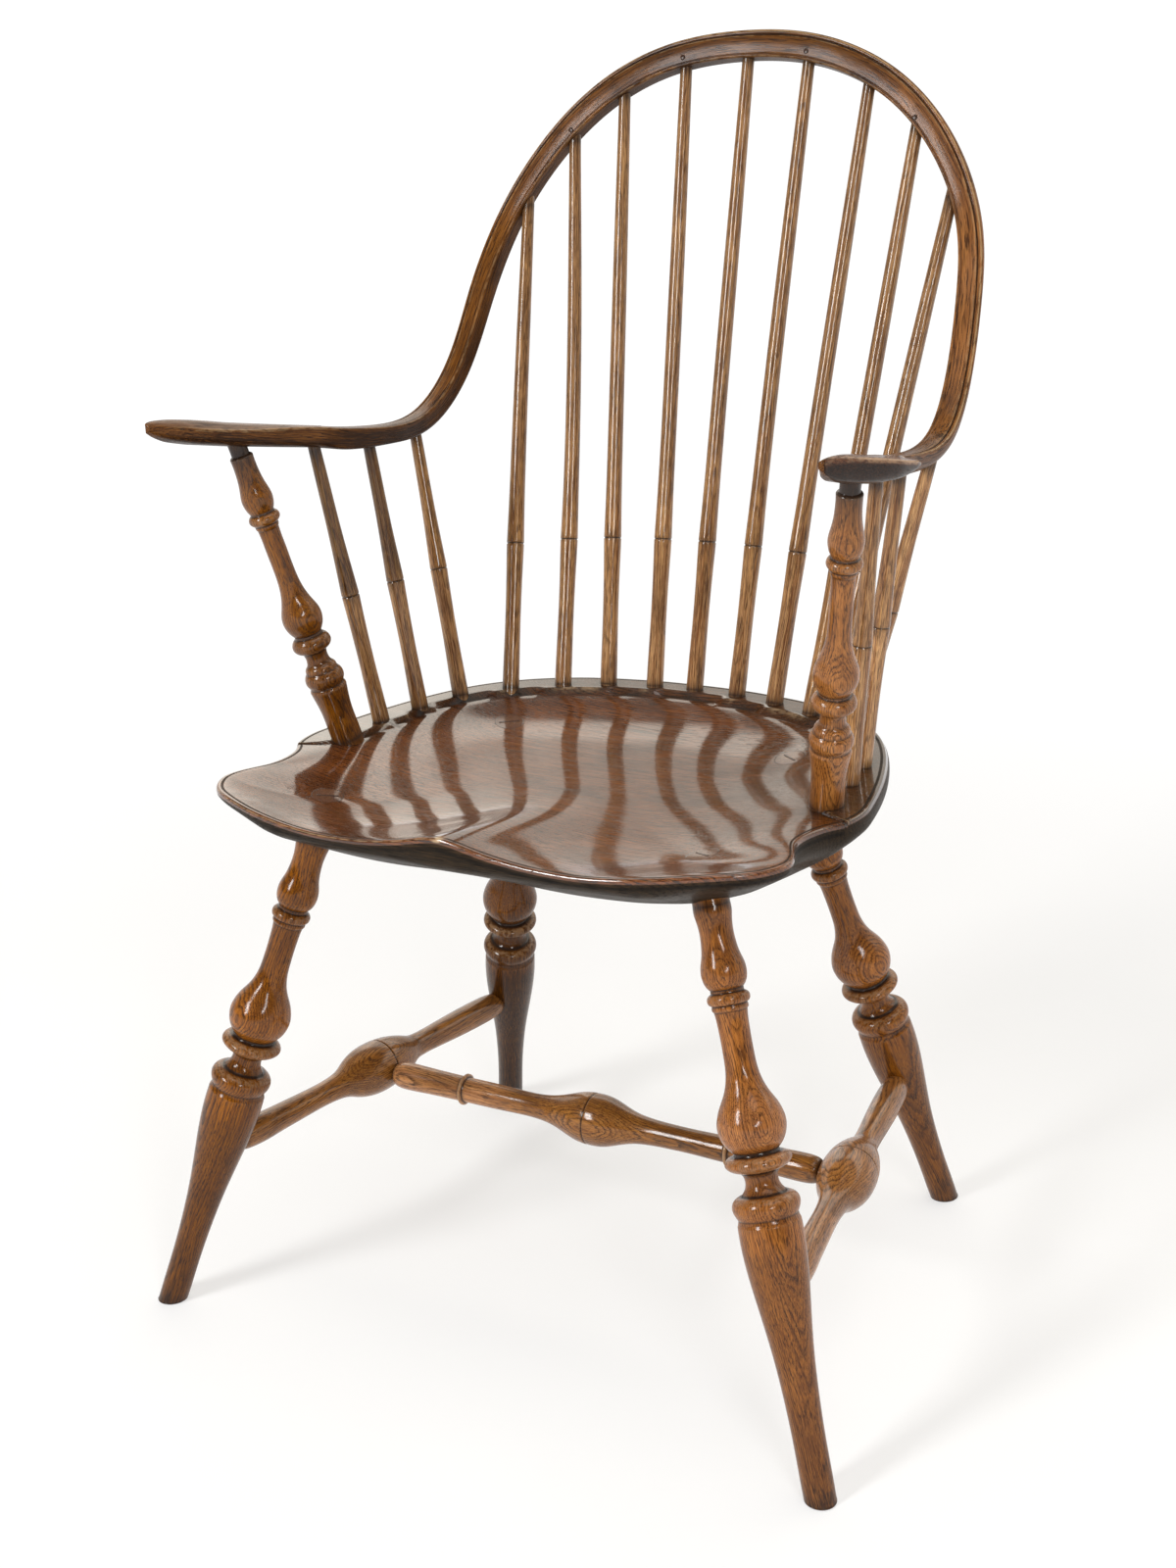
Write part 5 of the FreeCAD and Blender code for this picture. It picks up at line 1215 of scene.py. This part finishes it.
yy = fine_p[:, 1] - YO
half = len(fine_p) // 2
iL = np.where((yy[:half] > 44))[0][0]
iR = half + np.where(yy[half:] > 44)[0][-1]
n_st = 620
st = np.interp(np.linspace(arc[iL], arc[iR], n_st), arc, fine_t)
pp, tt, nn, ww = frames(st)
rings, rw, rf = [], [], []
knot_s = arc[np.linalg.norm(fine_p - P(231.6, 158.0, 679.8), axis=1).argmin()]
tops3 = [P(*q) for q in TOPS] + [P(*q) for s in ("left", "right") for q in ARM_TOPS[s]]
for i in range(n_st):
    p, t, n, wd = pp[i], tt[i], nn[i], ww[i]
    w = 19.9 + 2.6 * float(smooth(830, 955, p[2]))
    e = depth_at(p)
    ab = round_poly(bow_section(w, e), BOW_RAD, CUTS)
    y = p[1] - YO
    k = float(smooth(52, 120, y)) if y < 200 else 1.0
    ab, d, wr_ = grooves(ab, w / 2.0, k)
    V = p + ab[:, :1] * wd - ab[:, 1:] * n
    rings.append(V)
    s_ = np.interp(st[i], fine_t, arc)
    rw.append(np.stack([ab[:, 0] + 16.0, ab[:, 1] + 21.0, np.full(len(ab), s_)], -1))
    # the grain swirls round a small knot in the right bend
    kd = (s_ - knot_s) ** 2 / 72.0 + (ab[:, 0] - 1.0) ** 2 / 20.0
    kb = np.exp(-kd) * (ab[:, 1] < 4)
    rw[-1][:, 1] += 5.5 * kb
    rw[-1][:, 0] += 2.5 * kb
    near_ = np.min([np.linalg.norm(V - q, axis=1) for q in tops3], axis=0)
    d = np.maximum(d, 0.75 * np.exp(-np.maximum(near_ - 5.5, 0) / 2.4))
    side_ = np.clip((ab[:, 1] - 1.5) / 3.0, 0, 1)
    inner_side = side_ * (ab[:, 0] < -w / 2 + 3)
    arm = float(smooth(200, 120, y)) if y < 210 else 0.0
    tone = 0.5 + 0.02 * math.sin(s_ / 61.0) - 0.08 - 0.4 * float(smooth(905, 955, p[2])) - 0.14 * arm
    # painted sheen: the tone is raised on the right bend; the left part is made darker
    tone += 0.16 * float(smooth(150, 215, p[0])) * float(smooth(690, 760, p[2])) - 0.2 * float(smooth(-80, -180, p[0]))
    # painted shade: the bow's inner side, and its sides along the arms, are mixed towards near black
    hz = 0.55 * inner_side + 0.3 * side_ * arm
    d = np.maximum(d, 0.75 * np.exp(-kd * 5.0) * (ab[:, 1] < 4))
    rf.append(np.stack([np.clip(d, 0, 1), np.clip(wr_, 0, 1), np.clip(np.full(len(ab), tone) - 0.12 * kb, 0, 1), np.clip(hz, 0, 1)], -1))


def hand_rings(sx, ys):
    out, w_, f_ = [], [], []
    for y in ys:
        q, z = stick_section(y, sx)
        ab = round_poly(q, HAND_RAD, CUTS)
        out.append(np.stack([sx * ab[:, 0], np.full(len(ab), y + YO), z - ab[:, 1]], -1))
        xi = stab("in", INNER, y)
        xg = stab("gl", GLUE, y)
        a = ab[:, 0] - 0.5 * (xi + xg)
        w_.append(np.stack([a + 16.0, ab[:, 1] + 21.0, np.full(len(ab), 0.0)], -1))
        edge_ = np.exp(-((ab[:, 0] - xi - 0.8) / 1.4) ** 2) * (ab[:, 1] < stab("dr", DROP, y) + 2.4)
        # painted shade: the hand is mixed towards near black, a little all over and fully on its underside
        under = np.clip((ab[:, 1] - 9.0) / 5.0, 0, 1)
        tip = float(smooth(-100, -145, y))
        f_.append(np.stack([np.zeros(len(ab)), np.clip(0.5 * edge_ * (1 - tip), 0, 1), np.full(len(ab), 0.32),
                            np.clip(0.35 + 0.65 * under, 0, 1)], -1))
    return out, w_, f_


ys = np.concatenate([np.arange(10, -100, -2.5), np.arange(-100, -147.01, -1.2), [-147.2]])
parts = {}
for side, sx in (("left", -1), ("right", 1)):
    hr, hw_, hf = hand_rings(sx, ys)
    # distance along the arm goes on from the bow's own
    idx = 0 if sx < 0 else -1
    s0 = arc[iL] if sx < 0 else arc[iR]
    sgn = -1 if sx < 0 else 1
    for k, y in enumerate(ys):
        hw_[k][:, 2] = s0 + sgn * (44 - y) * 1.03
    # a smooth bridge between the two kinds of station
    near_i = [0, 4, 8, 12] if sx < 0 else [-1, -5, -9, -13]
    ctrl = [rings[j] for j in near_i[::-1]] + [hr[0], hr[2], hr[4], hr[7]]
    cc = [np.mean(q, axis=0) for q in ctrl]
    tc = chord(cc)
    f = spline(tc, np.array([q.ravel() for q in ctrl]))
    qs = np.linspace(tc[3], tc[4], 16)[1:-1]
    bridge = [v.reshape(-1, 3) for v in f(qs)]
    u = (qs - tc[3]) / (tc[4] - tc[3])
    bw_ = [rw[idx] * (1 - v) + hw_[0] * v for v in u]
    bf = [rf[idx] * (1 - v) + hf[0] * v for v in u]
    parts[side] = (bridge + hr, bw_ + hw_, bf + hf)
allV = parts["left"][0][::-1] + rings + parts["right"][0]
allW = parts["left"][1][::-1] + rw + parts["right"][1]
allF = parts["left"][2][::-1] + rf + parts["right"][2]
allV, allW, allF = np.array(allV), np.array(allW), np.array(allF)
allF[..., 2] += 0.03 * wobble(allV, 19, 70.0)
emit("arm_bow.bent", [shell(allV, allW, allF)], [M_BOW], ["arm_bow"])

# ---------------------------------------------------------------- the wider half of each hand
BLOCK_RAD = [0.4, 9.0, 3.0, 2.5, 3.0, 5.0, 5.0, 5.0, 0.4]
BCUTS = [6, 6, 2, 2, 2, 3, 3, 3, 10]
by_ = np.concatenate([[35.8], np.arange(34, -100, -2.5), np.arange(-100, -145.5, -1.3), [-146]])
for side, sx in (("left", -1), ("right", 1)):
    rv, rw_, rf_ = [], [], []
    for y in by_:
        q, z = block_section(y, sx)
        ab = round_poly(q, BLOCK_RAD, BCUTS)
        rv.append(np.stack([sx * ab[:, 0], np.full(len(ab), y + YO), z - ab[:, 1]], -1))
        xg, xo = stab("gl", GLUE, y), stab("ou", OUTER, y)
        rw_.append(np.stack([ab[:, 0] - xg + 22.0, ab[:, 1] - 30.0, np.full(len(ab), y)], -1))
        edge_ = np.exp(-((ab[:, 0] - xo + 1.6) / 2.0) ** 2) * (ab[:, 1] < 4.2)
        # painted shade: the underside of the block is mixed towards near black
        under = np.clip((ab[:, 1] - 2.6) / 3.2, 0, 1)
        glue = np.exp(-((ab[:, 0] - xg) / 0.5) ** 2)
        tip = float(smooth(-100, -145, y))
        rf_.append(np.stack([0.5 * glue, np.clip(0.75 * edge_ * (1 - 0.5 * tip), 0, 1), np.full(len(ab), 0.56), np.clip(0.05 + 0.95 * under, 0, 1)], -1))
    rf_ = np.array(rf_)
    rf_[..., 2] += 0.04 * wobble(np.array(rv), 29, 60.0)
    emit("hand_block_%s.carved" % side, [shell(np.array(rv), np.array(rw_), rf_)], [M_HAND], ["hand_block_" + side])

# ---------------------------------------------------------------- pegs
pegs = []
for i in (1, 3, 5, 7):
    A, B = P(*BASES[i], 0), P(*TOPS[i])
    A[2] = deck_z(BASES[i][1])
    c = B + unit(B - A) * 6.5
    j = np.linalg.norm(pp - nn * 7.9 - c, axis=1).argmin()
    p, n, wd, t = pp[j], nn[j], ww[j], tt[j]
    f = c + n * float(np.dot(p - c, n))
    e1, e2, _ = axes(n)
    prof = [(-9, 2.05), (-1, 2.1), (0.35, 2.15), (0.55, 2.0), (0.68, 1.6), (0.74, 1.0), (0.76, 0.4)]
    m = 28
    ang = 2 * math.pi * np.arange(m) / m
    rim = 1 + 0.05 * np.cos(3 * ang + i)
    rv = np.array([f + n * s + (np.cos(ang) * r * rim)[:, None] * e1 + (np.sin(ang) * r * rim)[:, None] * e2 for s, r in prof])
    wv_ = np.array([np.stack([np.cos(ang) * r + 6, np.sin(ang) * r + 3 * i, np.full(m, s)], -1) for s, r in prof])
    fv = np.zeros((len(prof), m, 4))
    fv[..., 2] = 0.4
    fv[2:4, :, 0] = 0.9
    fv[:2, :, 0] = 0.9
    pegs.append(shell(rv, wv_, fv))
emit("bow_pegs.whittled", pegs, [M_PEG], ["bow_pegs"])

# ================================================================ camera, light and floor
az, el, roll = math.radians(30.3005), math.radians(18.7627), math.radians(-2.5183)
b = np.array([math.sin(az) * math.cos(el), -math.cos(az) * math.cos(el), math.sin(el)])
right = np.array([math.cos(az), math.sin(az), 0.0])
up = np.cross(b, right)
r2 = right * math.cos(roll) + up * math.sin(roll)
u2 = -right * math.sin(roll) + up * math.cos(roll)
eye = np.array([7.845, YO, 423.734]) + b * 1613.178
cam = bpy.data.cameras.new("camera")
cam.sensor_fit = "AUTO"
cam.sensor_width = 36.0
cam.lens = 2117.35 / 1600.0 * 36.0
cam.clip_start, cam.clip_end = 0.05, 60.0
co = bpy.data.objects.new("camera", cam)
bpy.context.scene.collection.objects.link(co)
mw = Matrix.Identity(4)
for i in range(3):
    mw[i][0], mw[i][1], mw[i][2], mw[i][3] = r2[i], u2[i], b[i], eye[i] * 0.001
co.matrix_world = mw
bpy.context.scene.camera = co


def softbox(name, at, aim, w, h, power, color=(1, 1, 1)):
    li = bpy.data.lights.new(name, "AREA")
    li.shape = "RECTANGLE"
    li.size, li.size_y = w, h
    li.energy = power
    li.color = color
    o = bpy.data.objects.new(name, li)
    bpy.context.scene.collection.objects.link(o)
    o.location = at
    o.rotation_euler = (Vector(aim) - Vector(at)).to_track_quat("-Z", "Z").to_euler()
    return o


softbox("key", (-1.35, -2.75, 2.1), (0, 0, 0.5), 0.6, 1.5, 78)
softbox("fill", (2.2, -2.15, 1.75), (0, 0, 0.45), 0.3, 1.1, 27)
softbox("top", (0.6, -0.4, 3.2), (0, 0, 0.4), 2.0, 2.0, 22)

# pale flat floor
g = Graph("pale_floor")
tc_ = g.new("ShaderNodeTexCoord")
n1 = g.noise(tc_.outputs["Object"], 3.0, 4.0, 0.5)
n2 = g.noise(tc_.outputs["Object"], 90.0, 3.0, 0.6)
col = g.mix(g.step(n1, 0.3, 0.7), (0.9, 0.9, 0.9, 1), (0.92, 0.92, 0.92, 1))
bs = g.new("ShaderNodeBsdfPrincipled")
g.put(bs.inputs["Base Color"], col)
g.put(bs.inputs["Roughness"], g.step(n2, 0.2, 0.8, 0.8, 0.95))
bs.inputs["Specular IOR Level"].default_value = 0.1
g.put(bs.inputs["Normal"], g.bump(n2, 0.0004, 0.2))
# far away the floor melts into the bright surround
away = g.vec("LENGTH", tc_.outputs["Object"])
em = g.new("ShaderNodeEmission")
em.inputs["Strength"].default_value = WORLD
mx = g.new("ShaderNodeMixShader")
g.put(mx.inputs[0], g.step(away, 0.35, 2.3, 0.5, 1.0))
g.nt.links.new(bs.outputs[0], mx.inputs[1])
g.nt.links.new(em.outputs[0], mx.inputs[2])
o_ = g.new("ShaderNodeOutputMaterial")
g.nt.links.new(mx.outputs[0], o_.inputs[0])
fm = bpy.data.meshes.new("floor")
N = 96
fr_v, fr_f = [(0, 0, 0)], []
radii = [1.0, 2.0, 3.5, 5.5, 8.0, 12.0, 18.0, 26.0]
for r in radii:
    for k in range(N):
        a = 2 * math.pi * k / N
        fr_v.append((r * math.cos(a), r * math.sin(a), 0.0))
for k in range(N):
    fr_f.append((0, 1 + k, 1 + (k + 1) % N))
for i in range(len(radii) - 1):
    for k in range(N):
        a, c = 1 + i * N + k, 1 + i * N + (k + 1) % N
        fr_f.append((a, a + N, c + N, c))
fm.from_pydata(fr_v, [], fr_f)
fm.materials.append(g.mat)
fo = bpy.data.objects.new("floor", fm)
fo.location = (0, 0, -0.0004)
bpy.context.scene.collection.objects.link(fo)

# bright even surround, a little dimmer overhead and in front
wd_ = bpy.data.worlds.new("studio")
bpy.context.scene.world = wd_
wd_.use_nodes = True
nt = wd_.node_tree
nt.nodes.clear()
gw = Graph.__new__(Graph)
gw.nt, gw.x = nt, 0
tcw = gw.new("ShaderNodeTexCoord")
x_, y_, z_ = gw.split(tcw.outputs["Generated"])
back = gw.step(y_, -0.35, 0.35, SIDE_LOW, 1.0)
# behind the chair it grows brighter upwards, then dims overhead
rise = gw.step(z_, 0.2, 0.6, 0.9, 2.5)
over = gw.step(gw.math("MULTIPLY_ADD", y_, -0.6, z_), 0.24, 0.36, 1.0, 0.16)
near_h = gw.step(z_, 0.05, 0.13, 1.0, 0.0)
# behind the chair one side of the surround is brighter than its middle
lift = gw.math("MULTIPLY", gw.step(x_, -0.58, -0.5, 1.0, 0.0), gw.step(y_, 0.58, 0.7, 0.0, 1.0))
dim = gw.math("MULTIPLY", gw.step(x_, -0.53, -0.46, 0.0, 1.0), gw.step(z_, 0.24, 0.32, 0.0, 1.0))
dim = gw.math("MULTIPLY", dim, gw.step(z_, 0.4, 0.48, 1.0, 0.0))
uneven = gw.math("MULTIPLY", gw.math("MULTIPLY_ADD", lift, 0.8, 1.0), gw.math("MULTIPLY_ADD", dim, -0.36, 1.0))
lvl = gw.math("MULTIPLY", gw.math("MULTIPLY", back, uneven), gw.math("MULTIPLY", rise, over))
lvl = gw.math("MAXIMUM", lvl, near_h)
bg = gw.new("ShaderNodeBackground")
gw.put(bg.inputs["Color"], gw.mix(near_h, (1.0, 0.93, 0.82, 1.0), (1.0, 1.0, 1.0, 1.0)))
gw.put(bg.inputs["Strength"], gw.math("MULTIPLY", lvl, WORLD))
wo = gw.new("ShaderNodeOutputWorld")
nt.links.new(bg.outputs[0], wo.inputs[0])

sc = bpy.context.scene
sc.view_settings.view_transform = "Standard"
sc.view_settings.look = "None"
sc.view_settings.exposure = 0.0
